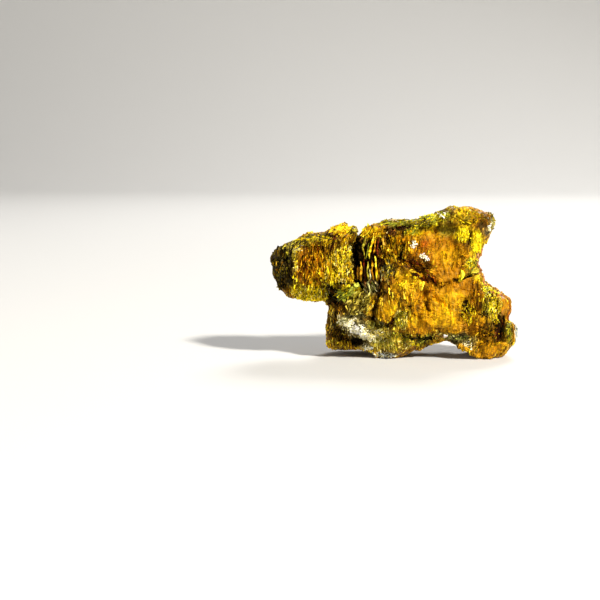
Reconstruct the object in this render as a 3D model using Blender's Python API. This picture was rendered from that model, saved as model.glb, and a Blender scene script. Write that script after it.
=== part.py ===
"""Orpiment with realgar: a loose cabinet specimen that stands on its lower edge.

The specimen is one solid. It begins as a closed surface of rings: each ring is the outline seen from the
front, drawn in towards a pole and pushed forwards or back to the depth of the front or the back. Clefts,
ledges and pits are then worked into both faces, and corners are broken off flat. Last, ribs, blades and
grains of crystal are joined on with a Boolean union. X runs to the right, Y away from the viewer and Z up.
Lengths are in millimetres until a mesh is made.
"""

import math

import bmesh
import bpy
import numpy as np
from mathutils import Euler, Vector

MM = 0.001  # metres in one of this script's units
NAME = "orpiment_with_realgar"

# ---------------------------------------------------------------- the form
BOXINESS = 3.8  # power of the section's superellipse: 2 is an ellipse, more is squarer
TO_MIDDLE = (-0.8, -0.5, 0.0)  # puts the middle of the whole stone over the origin
POLE = (-18.8, 39.4)  # X, Z of a place from which every point of the outline can be seen

# The outline in the X, Z plane, clockwise from the tip of the left lobe.
LEFT_LOBE_TOP = [
    (-49.2, 37.2), (-48.0, 41.2), (-45.4, 42.9), (-42.6, 43.7), (-39.6, 45.2), (-35.6, 47.2),
    (-31.6, 48.1), (-27.6, 48.6), (-24.6, 50.4), (-21.0, 52.2), (-18.8, 52.3), (-17.2, 50.6),
    (-15.4, 51.4), (-13.9, 50.2),
]
NOTCH_OVER_CLEFT = [(-14.2, 48.4), (-13.3, 47.2)]
CREST = [
    (-12.0, 48.3), (-9.8, 50.6), (-6.8, 51.7), (-4.4, 52.5), (-1.8, 53.6), (3.2, 53.7), (8.4, 53.9),
    (12.4, 54.8), (16.4, 55.9), (20.4, 57.3), (24.4, 58.8), (28.4, 59.8), (31.2, 59.6),
]
HORN = [(34.4, 58.2), (38.0, 57.2), (39.6, 55.8), (40.4, 53.4), (39.4, 50.8), (38.4, 48.5)]
RIGHT_BAY = [
    (36.5, 45.7), (35.3, 43.5), (34.6, 41.0), (33.6, 38.1), (33.8, 35.6), (35.0, 33.0), (37.2, 30.0),
    (39.6, 27.0), (42.4, 25.1),
]
RIGHT_LOBE = [
    (45.0, 24.0), (46.2, 22.8), (46.4, 20.6), (45.7, 16.0), (46.3, 14.0), (48.9, 12.0), (48.9, 7.4),
    (46.8, 4.0),
]
RIGHT_FOOT = [(44.0, 1.4), (41.4, -0.8), (38.6, -1.6), (36.6, -1.1), (34.8, -0.1)]
ARCH = [(31.8, 1.7), (28.4, 3.9), (23.2, 6.4), (18.4, 6.4), (14.4, 5.4), (10.4, 3.8)]
MIDDLE_FOOT = [(5.2, 0.6), (1.0, -1.6), (-4.0, -1.6), (-7.2, 0.8)]
LEFT_BASE = [
    (-11.6, 2.6), (-18.8, 2.2), (-23.8, 2.4), (-26.0, 4.2), (-26.0, 8.4), (-25.5, 12.0), (-24.9, 16.0),
    (-24.6, 19.2),
]
UNDER_LEFT_LOBE = [
    (-26.2, 21.6), (-28.2, 22.6), (-31.6, 22.6), (-35.6, 22.3), (-39.6, 23.4), (-42.2, 24.8),
    (-44.4, 27.6), (-46.2, 31.0), (-47.6, 34.3),
]
OUTLINE = (
    LEFT_LOBE_TOP + NOTCH_OVER_CLEFT + CREST + HORN + RIGHT_BAY + RIGHT_LOBE + RIGHT_FOOT + ARCH
    + MIDDLE_FOOT + LEFT_BASE + UNDER_LEFT_LOBE
)

# How far each face stands from the middle plane, at places (X, Z, depth) that are blended between.
FRONT_DEPTHS = {
    "left tip": (-47, 37, 12.0), "left lobe": (-36, 36, 13.6), "lobe by the cleft": (-21, 40, 14.4),
    "lobe underside": (-32, 25, 11.0), "crown": (-20, 49, 10.5), "cleft": (-14, 37, 11.5),
    "ribs": (-8, 38, 15.0), "brow": (-7, 49, 14.5), "crest": (10, 52, 11.5), "olive flat": (0, 38, 16.6),
    "middle": (18, 36, 15.0), "horn": (32, 54, 12.5), "bay": (31, 40, 11.5), "olive block": (-14, 22, 18.0),
    "golden lobe": (2, 18, 19.5), "wide middle": (18, 22, 18.5), "right lobe": (38, 19, 15.0),
    "left base": (-20, 8, 14.5), "middle foot": (0, 5, 16.0), "arch": (21, 9, 14.0),
    "right foot": (38, 6, 14.5),
}
BACK_DEPTHS = {
    "left tip": (-46, 36, 7.0), "left lobe": (-34, 40, 12.0), "lobe underside": (-33, 26, 8.5),
    "waist": (-19, 34, 10.5), "left shoulder": (-8, 47, 12.0), "left base": (-18, 10, 17.0),
    "middle": (2, 32, 18.5), "saddle": (12, 50, 11.0), "horn": (31, 54, 8.5), "bay": (30, 38, 12.0),
    "low middle": (8, 14, 18.5), "right lobe": (40, 20, 13.5), "right foot": (39, 5, 13.5),
}
DEPTH_REACH = 7.5  # how far from its place each depth has its say

# ---------------------------------------------------------------- what is worked into the faces
# Grooves: the path, half the width, the depth.
FRONT_GROOVES = {
    "cleft": ([(-14.0, 46.6), (-14.6, 42.1), (-13.7, 37.7), (-12.8, 33.7), (-12.2, 29.8)], 1.35, 7.0),
    "crack over the cleft": ([(-13.4, 49.8), (-14.0, 46.8)], 0.7, 3.0),
    "cleft heart": ([(-14.5, 44.0), (-13.9, 39.1)], 1.9, 5.0),
    "hollow under the lobe": ([(-24.6, 28.4), (-23.7, 25.4), (-22.9, 22.5)], 1.9, 5.0),
    "slit behind the chip": ([(-12.2, 29.0), (-15.1, 26.1), (-18.4, 23.5), (-21.8, 22.0)], 1.1, 3.5),
    "standing crack": ([(-4.4, 31.3), (-4.8, 25.9), (-6.0, 21.0), (-6.9, 16.6)], 1.2, 4.0),
    "crack under the golden lobe": ([(-6.2, 14.7), (-2.7, 13.7), (0.3, 15.7), (3.6, 18.5)], 1.0, 3.0),
    "short crack": ([(13.9, 24.5), (14.2, 20.8)], 0.8, 1.8),
    "low crack": ([(3.9, 10.4), (8.4, 9.6), (13.1, 8.8)], 0.9, 2.2),
    "realgar seam": ([(3.0, 40.0), (5.8, 38.9), (9.4, 37.1), (12.9, 33.0), (16.6, 30.2)], 1.5, 1.7),
    "bay crack": ([(20.5, 30.2), (24.9, 31.2), (28.6, 32.4), (33.1, 34.7)], 0.7, 1.6),
    "shadow under the crest": ([(-1.9, 50.4), (1.6, 51.8), (6.5, 52.4), (14.0, 52.4)], 0.9, 1.6),
    "olive hollow": ([(18.0, 50.4), (22.8, 50.2)], 2.6, 1.4),
    "right seam": ([(44.8, 17.5), (42.4, 13.2), (43.4, 7.7)], 1.3, 2.4),
    "pit in the right lobe": ([(28.0, 22.4), (30.4, 19.6)], 1.8, 2.4),
    "fluted hollow": ([(32.3, 27.9), (32.7, 19.0)], 2.4, 1.6),
    "hollow at the left base": ([(-19.4, 7.7), (-14.5, 6.7), (-10.6, 7.7)], 1.7, 3.6),
    "undercut over the chalk": ([(-17.4, 16.9), (-11.6, 16.3), (-7.7, 16.7)], 1.5, 1.7),
    "pocket of the ribs": ([(-8.3, 46.5), (-8.3, 32.8)], 5.4, 3.4),
}
BACK_GROOVES = {
    "waist": ([(-14.6, 50.0), (-16.8, 41.0), (-20.0, 30.0), (-24.4, 20.4)], 3.0, 5.0),
    "long seam": ([(-4.0, 52.0), (2.0, 40.0), (4.0, 26.0), (12.0, 12.0)], 1.6, 2.8),
    "cross seam": ([(3.4, 33.0), (16.0, 36.0), (32.0, 33.0)], 1.5, 2.4),
    "low hollow": ([(20.0, 11.0), (30.0, 12.0)], 3.2, 3.0),
}
# Ledges: the path, how far the ground on its left rises above that on its right, how far that carries.
FRONT_LEDGES = {
    "edge of the end face": ([(-38.8, 26.5), (-38.0, 34.7), (-38.6, 46.5)], -2.2, 9.0),
    "crest band": ([(-8.7, 48.0), (-1.9, 51.6), (9.8, 51.8), (21.4, 52.6), (27.3, 53.7)], 1.8, 7.0),
    "realgar step": ([(17.9, 24.9), (14.1, 30.0), (7.8, 36.5), (2.4, 40.2)], 2.2, 9.0),
    "golden lobe's lip": ([(4.9, 19.8), (0.4, 14.7), (-6.2, 14.1)], -1.6, 8.0),
    "shelf in the bay": ([(21.4, 29.8), (28.2, 31.8), (33.5, 34.7)], 1.8, 6.0),
    "chalk band": ([(-22.3, 16.1), (-15.9, 15.5), (-8.7, 10.6), (3.9, 8.8), (11.7, 8.1)], 1.6, 6.0),
}
BACK_LEDGES = {
    "upper step": ([(-8.0, 44.0), (8.0, 46.4), (24.0, 43.0), (36.0, 45.0)], -2.6, 12.0),
    "lower step": ([(40.0, 24.0), (22.0, 20.0), (4.0, 22.0), (-14.0, 18.0)], 2.4, 11.0),
}
LEDGE_WIDTH = 0.7
GROOVE_SQUARENESS = 3.2

# Flat breaks: a place on the plane (X, Y, Z), the way out of the stone, and how far the break reaches.
BREAKS = {
    "end face": ((-38.6, -12.6, 36.0), (-0.80, -0.60, 0.05), 19.0),
    "under the lobe": ((-36.0, -8.6, 23.8), (-0.10, -0.50, -0.86), 8.0),
    "lobe's roof": ((-31.0, -10.4, 46.6), (-0.16, -0.50, 0.85), 10.0),
    "crown": ((-20.0, -8.6, 49.6), (0.20, -0.60, 0.78), 6.0),
    "horn's crown": ((33.0, -9.4, 56.6), (0.25, -0.60, 0.76), 12.0),
    "bright facet": ((31.0, -11.6, 46.0), (0.46, -0.86, 0.22), 9.0),
    "bay wall": ((33.0, -7.6, 37.0), (0.78, -0.62, 0.08), 9.0),
    "block's cheek": ((-19.0, -14.2, 21.0), (-0.66, -0.74, 0.10), 8.0),
    "golden lobe's face": ((1.6, -19.0, 19.0), (-0.12, -0.97, 0.20), 7.0),
    "wide face": ((19.0, -17.6, 24.0), (0.10, -0.97, 0.22), 12.0),
    "right face": ((38.0, -14.4, 19.0), (0.34, -0.92, 0.18), 9.0),
    "foot's toe": ((41.0, -10.8, 4.4), (0.48, -0.60, -0.64), 8.0),
    "low front": ((4.0, -14.4, 5.0), (0.02, -0.80, -0.60), 9.0),
    "lobe's back": ((-40.0, 7.6, 38.0), (-0.60, 0.79, 0.12), 14.0),
    "lobe's shoulder": ((-29.0, 9.6, 43.6), (0.10, 0.72, 0.69), 11.0),
    "back of the crest": ((4.0, 9.4, 48.6), (-0.05, 0.70, 0.71), 17.0),
    "back of the horn": ((33.0, 5.8, 50.0), (0.46, 0.83, 0.30), 13.0),
    "left of the back": ((-8.0, 15.4, 32.0), (-0.38, 0.92, 0.10), 15.0),
    "middle of the back": ((12.0, 16.6, 30.0), (0.16, 0.98, 0.12), 16.0),
    "right back": ((42.0, 8.0, 16.0), (0.70, 0.70, 0.14), 15.0),
    "low back": ((10.0, 14.6, 9.0), (0.05, 0.84, -0.54), 17.0),
    "left base back": ((-21.0, 11.6, 12.0), (-0.70, 0.70, -0.16), 13.0),
}

# ---------------------------------------------------------------- crystals
# Patches of upright blades that stand out of the faces in bundles: the X and Z range, how many bundles, a
# blade's width, length and rise.
FRONT_BLADES = {
    "lobe by the cleft": ((-22, -17), (31, 46), 5, 1.6, 7.0, 1.0),
    "left lobe": ((-37, -25), (28, 45), 8, 1.8, 7.0, 1.0),
    "lobe's end": ((-46, -41), (29, 41), 3, 1.8, 8.0, 0.9),
    "olive flat": ((-2, 7), (36, 47), 5, 1.7, 7.0, 0.9),
    "middle": ((6, 26), (18, 46), 6, 2.0, 6.0, 0.6),
    "right lobe": ((28, 44), (12, 26), 8, 1.7, 6.5, 1.0),
    "right of the bay": ((26, 32), (39, 53), 4, 1.8, 7.0, 1.0),
}
BACK_BLADES = {
    "lobe's back": ((-43, -25), (28, 45), 7, 2.2, 9.0, 1.2),
    "back": ((-10, 30), (10, 46), 14, 2.4, 11.0, 1.2),
    "right of the back": ((31, 44), (8, 26), 5, 2.0, 7.0, 1.1),
}
BUNDLE = 4  # blades in a bundle
BLADE_LEAN = 0.12  # most sideways lean of a bundle, as a share of the height
BLADE_SIDES, BLADE_ENDS = 1.7, 4.0  # how steep the chamfers of a blade's long sides and of its ends are

# Upright ribs beside the cleft: each one's foot X and Z, head X and Z, thickness and how far back it starts.
RIBS = {
    "brown plate": (-12.4, 30.8, -12.8, 38.8, 1.3, -0.1),
    "pale sliver": (-11.9, 43.6, -10.6, 48.6, 1.1, -0.4),
    "olive plate, right": (-10.9, 39.4, -9.8, 46.0, 0.8, 0.0),
    "golden sliver": (-9.6, 39.6, -8.1, 48.8, 1.2, -0.3),
    "olive plate": (-9.9, 30.8, -10.2, 38.6, 0.8, -0.2),
    "orange plate": (-7.9, 31.0, -8.4, 39.2, 1.0, -0.1),
    "bright plate": (-6.4, 30.8, -7.2, 41.0, 1.0, -0.4),
    "maroon plate": (-6.4, 40.4, -5.7, 48.4, 0.9, 0.5),
    "last plate": (-5.5, 30.4, -5.9, 39.8, 0.7, 0.6),
}
RIB_FRONT = -15.9  # Y of their front edges
RIB_DEEP = 5.4
RIB_BEND = 1.2  # how far a rib's ends lie behind its middle
RIB_EDGE, RIB_ROOT = 0.6, 1.2  # its width in front and at the back, as shares of its thickness

# Clusters of small square grains: the place X, Z, how many, their size and how far they spread.
GRAIN_CLUSTERS = {
    "upper white grain": (7.9, 45.3, 3, 1.4, 1.0),
    "lower white grain": (11.8, 40.7, 6, 1.5, 1.7),
    "pink grain": (21.6, 8.4, 2, 1.2, 0.7),
    "bay grains": (33.0, 41.0, 4, 1.3, 2.2),
    "specks by the pit": (31.0, 24.0, 4, 1.3, 2.4),
}

GRAIN_DEEP = 1.8  # a grain's depth, as a share of its width
GRAIN_TURN = 2.4  # radians from one grain to the next, which spreads them evenly

# Broken chips: the corners' X and Z, how thick, and how far the chip stands out of the stone.
CHIPS = {
    "leaf chip": (
        [(-22.1, 27.2), (-19.4, 29.1), (-16.3, 30.0), (-14.0, 28.6), (-16.3, 26.2), (-19.0, 24.3),
         (-21.3, 22.9), (-22.4, 24.8)],
        3.4, 0.6,
    ),
    "chip's tip": ([(-16.2, 28.2), (-15.9, 30.2), (-13.6, 30.5), (-12.9, 29.2), (-14.2, 28.0)], 2.6, 1.3),
    "lemon chip": ([(25.1, 32.4), (26.3, 35.9), (28.1, 33.7), (26.7, 31.0), (25.3, 30.8)], 2.8, 1.0),
    "shelf plate": ([(27.9, 31.8), (27.7, 33.9), (33.7, 36.3), (33.7, 34.3)], 3.0, 0.8),
    "slanting chip": ([(-9.3, 26.5), (-10.4, 30.6), (-9.7, 31.0), (-8.3, 26.7)], 3.0, 0.9),
    "second slanting chip": ([(-7.3, 26.1), (-8.5, 29.8), (-7.8, 30.4), (-6.3, 26.5)], 3.0, 0.7),
    "crown chip": ([(-17.6, 49.0), (-16.8, 51.0), (-15.0, 51.6), (-13.9, 50.4), (-14.9, 49.2)], 3.4, 0.8),
}
# A chip's layers from front to back: the share of its thickness and the share of its width.
CHIP_LAYERS = ((0.0, 0.72), (0.45, 1.0), (1.0, 0.9))

# ---------------------------------------------------------------- roughness of the broken crystal
COLUMN_SIZE = (3.2, 4.2, 10.0)  # X, Y, Z size of the columns that the stone breaks into
COLUMN_RISE = 0.9
COLUMN_CRISPNESS = 22  # how sharp the edges between the facets are
BLOCK_SIZE = (12.0, 12.0, 12.0)
BLOCK_RISE = 2.0
BLOCK_CRISPNESS = 16
RIM_CALM, RIM_POWER = 0.45, 8  # how much of the roughness is lost at the rim, and how near the rim
CRYSTAL_SEED = 5
LATTICE = 32  # the noise repeats after this many steps
NORMAL_SPAN = 5  # outline points to each side that an outward direction is read from
FACE_WEIGHT = 1.8  # how soon the outward directions turn from the rim to the faces

RIM_FROM, RIM_SOFTNESS = 0.7, 2  # share of the depth above which the faces are fully worked, and its power
PROFILE_STRETCH = 2.4  # how much closer the rings lie on the faces than on the rim

RING_POINTS = 400  # round the outline
RINGS = 176  # from the front pole to the back pole
STONE_FACES = 7200  # before the crystals are joined on


def spline_through(points, count):
    """A closed Catmull-Rom curve through the points, read at count places of equal arc length."""
    knots = np.array(points, float)
    ahead, behind = np.roll(knots, -1, 0), np.roll(knots, 1, 0)
    beyond = np.roll(knots, -2, 0)
    share = np.linspace(0, 1, 24, endpoint=False)[:, None, None]
    dense = 0.5 * (
        2 * knots
        + (ahead - behind) * share
        + (2 * behind - 5 * knots + 4 * ahead - beyond) * share**2
        + (3 * knots - behind - 3 * ahead + beyond) * share**3
    )
    dense = dense.transpose(1, 0, 2).reshape(-1, 2)
    closed = np.vstack([dense, dense[:1]])
    length = np.concatenate([[0], np.cumsum(np.hypot(*np.diff(closed, axis=0).T))])
    places = np.linspace(0, length[-1], count, endpoint=False)
    return np.column_stack([np.interp(places, length, closed[:, axis]) for axis in (0, 1)])


def section_profile(count):
    """(how far out, how far forward) of each ring, both shares of 1, evenly spaced along a superellipse."""
    turn = np.linspace(0, math.pi, 4001)
    out = np.sin(turn) ** (2 / BOXINESS)
    forward = np.sign(np.cos(turn)) * np.abs(np.cos(turn)) ** (2 / BOXINESS)
    length = np.concatenate([[0], np.cumsum(np.hypot(np.diff(out) * PROFILE_STRETCH, np.diff(forward)))])
    places = np.linspace(0, length[-1], count + 2)[1:-1]
    return np.interp(places, length, out), np.interp(places, length, forward)


def blended_depth(x, z, depths):
    """The face's depth at each (X, Z): the listed depths, each weighted by how near its place is."""
    total = np.zeros_like(x)
    weights = np.full_like(x, 1e-9)
    for place_x, place_z, depth in depths.values():
        near = np.exp(-((x - place_x) ** 2 + (z - place_z) ** 2) / (2 * DEPTH_REACH**2))
        total += near * depth
        weights += near
    return total / weights


def to_path(x, z, path):
    """Distance from each (X, Z) to a chain of straight runs, positive on the left of the way it runs."""
    nearest = np.full_like(x, 1e9)
    signed = np.zeros_like(x)
    for (ax, az), (bx, bz) in zip(path, path[1:]):
        run_x, run_z = bx - ax, bz - az
        share = np.clip(((x - ax) * run_x + (z - az) * run_z) / (run_x**2 + run_z**2), 0, 1)
        off_x, off_z = x - ax - share * run_x, z - az - share * run_z
        distance = np.hypot(off_x, off_z)
        closer = distance < nearest
        nearest = np.where(closer, distance, nearest)
        signed = np.where(closer, np.sign(run_x * off_z - run_z * off_x) * distance, signed)
    return signed


def blade_relief(x, z, patches, seed):
    """How far the bundled blades raise the face: flat-topped bars with chamfered sides and ends."""
    rng = np.random.default_rng(seed)
    height = np.zeros_like(x)
    for xs, zs, bundles, width, length, rise in patches.values():
        for _ in range(bundles):
            first_x, first_z, lean = rng.uniform(*xs), rng.uniform(*zs), rng.uniform(-BLADE_LEAN, BLADE_LEAN)
            for i in range(BUNDLE):
                middle_z = first_z + rng.uniform(-0.25, 0.25) * length
                long, tall = length * rng.uniform(0.6, 1.2), rise * rng.uniform(0.4, 1.2)
                along = 1 - np.abs(z - middle_z) * 2 / long
                across = 1 - np.abs(x - first_x - width * i - lean * (z - middle_z)) * 2 / width
                bar = tall * np.clip(across * BLADE_SIDES, 0, 1) * np.clip(along * BLADE_ENDS, 0, 1)
                height = np.maximum(height, bar)
    return height


def worked_face(x, z, grooves, ledges):
    """How far the face stands above its plain depth: ledges raise it, and grooves cut into it."""
    height = np.zeros_like(x)
    for path, rise, carry in ledges.values():
        away = to_path(x, z, path)
        side = 0.5 * (1 + np.tanh(away / LEDGE_WIDTH))
        height += rise * (side - 0.5) * np.exp(-((away / carry) ** 2))
    for path, half_width, depth in grooves.values():
        away = np.abs(to_path(x, z, path)) / half_width
        height -= depth * np.exp(-(away**GROOVE_SQUARENESS))
    return height


def facet_noise(points, size, crispness, seed):
    """Tilted flat facets from -1 to 1: each point takes the plane of the nearest of many scattered seeds."""
    rng = np.random.default_rng(seed)
    jitter = rng.uniform(0.1, 0.9, (LATTICE,) * 3 + (3,))
    level = rng.uniform(-1, 1, (LATTICE,) * 3)
    tilt = rng.uniform(-1, 1, (LATTICE,) * 3 + (3,))
    steps = points / np.array(size)
    cell = np.floor(steps).astype(int)
    part = steps - cell
    total = np.zeros(points.shape[:-1])
    weights = np.zeros(points.shape[:-1])
    for corner in np.ndindex(3, 3, 3):
        offset = np.array(corner) - 1
        index = tuple(((cell + offset) % LATTICE)[..., axis] for axis in range(3))
        away = part - offset - jitter[index]
        weight = np.exp(-crispness * (away**2).sum(-1))
        total += weight * (0.5 * level[index] + (tilt[index] * away).sum(-1))
        weights += weight
    return total / weights


def outward_ways(outline, out, forward):
    """Smooth unit directions out of the stone: the outline's own normal, turned forwards with the section."""
    run = np.roll(outline, -NORMAL_SPAN, 0) - np.roll(outline, NORMAL_SPAN, 0)
    sideways = np.column_stack([-run[:, 1], run[:, 0]]) / np.hypot(*run.T)[:, None]
    steep = out ** (BOXINESS - 1)
    facing = -np.sign(forward) * np.abs(forward) ** (BOXINESS - 1) * FACE_WEIGHT
    facing = np.broadcast_to(facing, (len(out), len(outline)))
    ways = np.stack([sideways[:, 0] * steep, facing, sideways[:, 1] * steep], axis=-1)
    return ways / np.linalg.norm(ways, axis=-1, keepdims=True)


def stone_surface(ring_points, rings):
    """The stone's rings of points, from the front pole's ring to the back pole's, and the two poles."""
    outline = spline_through(OUTLINE, ring_points)
    out, forward = section_profile(rings)
    out = np.concatenate([[0], out, [0]])[:, None]
    forward = np.concatenate([[1], forward, [-1]])[:, None]
    x = POLE[0] + (outline[:, 0] - POLE[0]) * out
    z = POLE[1] + (outline[:, 1] - POLE[1]) * out
    front = blended_depth(x, z, FRONT_DEPTHS) * np.maximum(forward, 0)
    back = blended_depth(x, z, BACK_DEPTHS) * np.maximum(-forward, 0)
    # no ledge or groove reaches round the rim
    show = np.clip(np.abs(forward) / RIM_FROM, 0, 1) ** RIM_SOFTNESS
    front += worked_face(x, z, FRONT_GROOVES, FRONT_LEDGES) * show * (forward > 0)
    back += worked_face(x, z, BACK_GROOVES, BACK_LEDGES) * show * (forward < 0)
    front += blade_relief(x, z, FRONT_BLADES, seed=5) * show * (forward > 0)
    back += blade_relief(x, z, BACK_BLADES, seed=6) * show * (forward < 0)
    grid = np.stack([x, back - front, z], axis=-1)
    for place, way, reach in BREAKS.values():
        normal = np.array(way) / np.linalg.norm(way)
        offset = grid - np.array(place)
        near = np.exp(-((np.linalg.norm(offset, axis=-1) / reach) ** 4))
        grid = grid - (np.maximum(offset @ normal, 0) * near)[..., None] * normal
    roughness = BLOCK_RISE * facet_noise(grid, BLOCK_SIZE, BLOCK_CRISPNESS, seed=3)
    roughness += COLUMN_RISE * facet_noise(grid, COLUMN_SIZE, COLUMN_CRISPNESS, seed=8)
    roughness *= 1 - RIM_CALM * out**RIM_POWER
    grid = grid + outward_ways(outline, out, forward) * roughness[..., None]
    grid[0], grid[-1] = grid[0].mean(0), grid[-1].mean(0)  # each pole is one point
    return grid + np.array(TO_MIDDLE)


def stone_mesh(grid):
    """The rings joined into one closed mesh, in metres."""
    mesh = bpy.data.meshes.new(NAME)
    build = bmesh.new()
    rings = [[build.verts.new(point) for point in ring] for ring in grid[1:-1] * MM]
    for inner, outer in zip(rings, rings[1:]):
        for i in range(len(inner)):
            build.faces.new((inner[i - 1], inner[i], outer[i], outer[i - 1]))
    for ring, pole in ((rings[0], grid[0, 0]), (rings[-1], grid[-1, 0])):
        tip = build.verts.new(pole * MM)
        for i in range(len(ring)):
            build.faces.new((ring[i - 1], ring[i], tip))
    bmesh.ops.recalc_face_normals(build, faces=build.faces)
    bmesh.ops.triangulate(build, faces=build.faces)
    build.to_mesh(mesh)
    build.free()
    return mesh


def front_y(grid, x, z):
    """The Y of the stone's front at X, Z, read from the nearest point of its rings."""
    front = grid[: len(grid) // 2].reshape(-1, 3)
    nearest = np.argmin((front[:, 0] - x) ** 2 + (front[:, 2] - z) ** 2)
    return front[nearest, 1]


def grain(centre, size, rng):
    """The corners of a square grain, deeper than it is wide and turned at random."""
    turn = Euler(rng.uniform(-0.5, 0.5, 3)).to_matrix()
    half = 0.5 * size * rng.uniform(0.75, 1.15, 3) * np.array([1.0, GRAIN_DEEP, 1.0])
    signs = [(i, j, k) for i in (-1, 1) for j in (-1, 1) for k in (-1, 1)]
    return [Vector(centre) + turn @ Vector(half * np.array(sign)) for sign in signs]


def rib_corners():
    """Upright plates that stand side by side in their pocket, thinnest in front and sunk at both ends."""
    for foot_x, foot_z, head_x, head_z, thick, set_back in RIBS.values():
        front = RIB_FRONT + set_back
        corners = []
        for up, bend in ((0.0, RIB_BEND), (0.3, 0.0), (0.7, 0.0), (1.0, RIB_BEND)):
            x, z = foot_x + (head_x - foot_x) * up, foot_z + (head_z - foot_z) * up
            for y, share in ((front + bend, RIB_EDGE), (front + RIB_DEEP, RIB_ROOT)):
                corners += [(x + side * share * thick / 2, y, z) for side in (-1, 1)]
        yield corners


def grain_corners(grid, rng):
    """Clusters of small square grains on the front face."""
    for x, z, count, size, spread in GRAIN_CLUSTERS.values():
        for i in range(count):
            turn = GRAIN_TURN * i
            away = spread * math.sqrt(i / count)
            grain_x, grain_z = x + away * math.cos(turn), z + away * math.sin(turn)
            y = front_y(grid, grain_x, grain_z) + 0.3 * size
            yield grain((grain_x, y, grain_z), size, rng)


def chip_corners(grid):
    """Flat chips of their own outline, tapered towards the viewer."""
    for outline, thick, proud in CHIPS.values():
        middle = np.mean(outline, axis=0)
        y = front_y(grid, *middle) - proud
        corners = []
        for depth, share in CHIP_LAYERS:
            ring = middle + (np.array(outline) - middle) * share
            corners += [(x, y + depth * thick, z) for x, z in ring]
        yield corners


def crystal_mesh(grid):
    """Every crystal as its own convex body, all in one mesh, in metres."""
    rng = np.random.default_rng(CRYSTAL_SEED)
    bodies = [*rib_corners(), *grain_corners(grid, rng), *chip_corners(grid)]
    build = bmesh.new()
    for corners in bodies:
        verts = [build.verts.new(Vector(corner) * MM) for corner in corners]
        hull = bmesh.ops.convex_hull(build, input=verts)
        inside = set(hull["geom_interior"] + hull["geom_unused"])
        inside = [item for item in inside if isinstance(item, bmesh.types.BMVert)]
        bmesh.ops.delete(build, geom=inside, context="VERTS")
    bmesh.ops.recalc_face_normals(build, faces=build.faces)
    mesh = bpy.data.meshes.new("crystals")
    build.to_mesh(mesh)
    build.free()
    return mesh


def golden_stone_material():
    material = bpy.data.materials.new("orpiment")
    material.use_nodes = True
    shader = material.node_tree.nodes["Principled BSDF"]
    shader.inputs["Base Color"].default_value = (0.62, 0.36, 0.03, 1.0)
    shader.inputs["Roughness"].default_value = 0.42
    shader.inputs["Metallic"].default_value = 0.0
    return material


def rest_cutter():
    """A slab whose top is the surface that the stone stands on: it grinds the feet flat."""
    build = bmesh.new()
    bmesh.ops.create_cube(build, size=1.0)
    bmesh.ops.scale(build, vec=Vector((140, 80, 20)) * MM, verts=build.verts)
    bmesh.ops.translate(build, vec=Vector((0, 0, -10)) * MM, verts=build.verts)
    mesh = bpy.data.meshes.new("ground")
    build.to_mesh(mesh)
    build.free()
    return mesh


def add_boolean(obj, name, operation, cutter):
    step = obj.modifiers.new(name, "BOOLEAN")
    step.operation = operation
    step.solver = "EXACT"
    step.use_self = operation == "UNION"  # the crystals touch each other
    step.object = cutter


def main():
    for obj in list(bpy.data.objects):
        bpy.data.objects.remove(obj, do_unlink=True)
    grid = stone_surface(RING_POINTS, RINGS)
    stone = bpy.data.objects.new(NAME, stone_mesh(grid))
    stone.data.materials.append(golden_stone_material())
    crystals = bpy.data.objects.new("crystals", crystal_mesh(grid))
    ground = bpy.data.objects.new("ground", rest_cutter())
    for obj in (stone, crystals, ground):
        bpy.context.scene.collection.objects.link(obj)
    for obj in (crystals, ground):
        obj.hide_render = True
        obj.display_type = "WIRE"
    thin = stone.modifiers.new("fewer faces on the flats", "DECIMATE")
    thin.ratio = STONE_FACES / len(stone.data.polygons)
    thin.use_collapse_triangulate = True
    add_boolean(stone, "crystals joined on", "UNION", crystals)
    add_boolean(stone, "feet ground flat", "DIFFERENCE", ground)


main()
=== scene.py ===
# Orpiment with realgar: the looks of the stone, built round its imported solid.
# Lengths are in millimetres until a mesh is made. X runs right, Y away from the viewer, Z up.
import math

import bpy
import numpy as np
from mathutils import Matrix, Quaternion, Vector


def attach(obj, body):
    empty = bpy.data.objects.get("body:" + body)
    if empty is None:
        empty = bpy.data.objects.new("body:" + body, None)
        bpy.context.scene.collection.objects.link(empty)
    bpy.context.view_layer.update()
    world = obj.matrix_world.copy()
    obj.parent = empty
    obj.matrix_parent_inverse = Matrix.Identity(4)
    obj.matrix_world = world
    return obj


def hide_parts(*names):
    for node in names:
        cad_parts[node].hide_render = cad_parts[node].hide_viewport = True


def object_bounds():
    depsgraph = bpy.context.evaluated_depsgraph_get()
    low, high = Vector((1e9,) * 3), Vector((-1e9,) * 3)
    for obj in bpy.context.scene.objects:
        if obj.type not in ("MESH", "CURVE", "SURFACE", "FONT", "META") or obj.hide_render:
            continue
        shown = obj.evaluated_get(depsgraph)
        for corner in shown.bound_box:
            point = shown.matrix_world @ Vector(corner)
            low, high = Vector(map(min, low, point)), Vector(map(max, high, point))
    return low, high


mm = 0.001
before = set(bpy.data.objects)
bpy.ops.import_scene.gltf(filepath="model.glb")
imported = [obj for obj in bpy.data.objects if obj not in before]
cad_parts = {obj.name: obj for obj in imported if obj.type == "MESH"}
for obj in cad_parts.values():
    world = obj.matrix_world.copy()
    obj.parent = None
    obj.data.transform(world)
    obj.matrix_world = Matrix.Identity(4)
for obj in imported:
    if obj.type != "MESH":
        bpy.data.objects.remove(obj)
cadLow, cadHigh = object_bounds()
stoneNode = "orpiment_with_realgar"
lowCorner = np.array(cadLow) / mm
highCorner = np.array(cadHigh) / mm
print("stage: frame loaded")

# noise
latticeSide = 32
seedSpread = (0.1, 0.9)  # where in its cell a seed may stand
leastWeight = 1e-12  # the least that blended facets are divided by
tiny = 1e-9  # and the least for everything else


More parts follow.
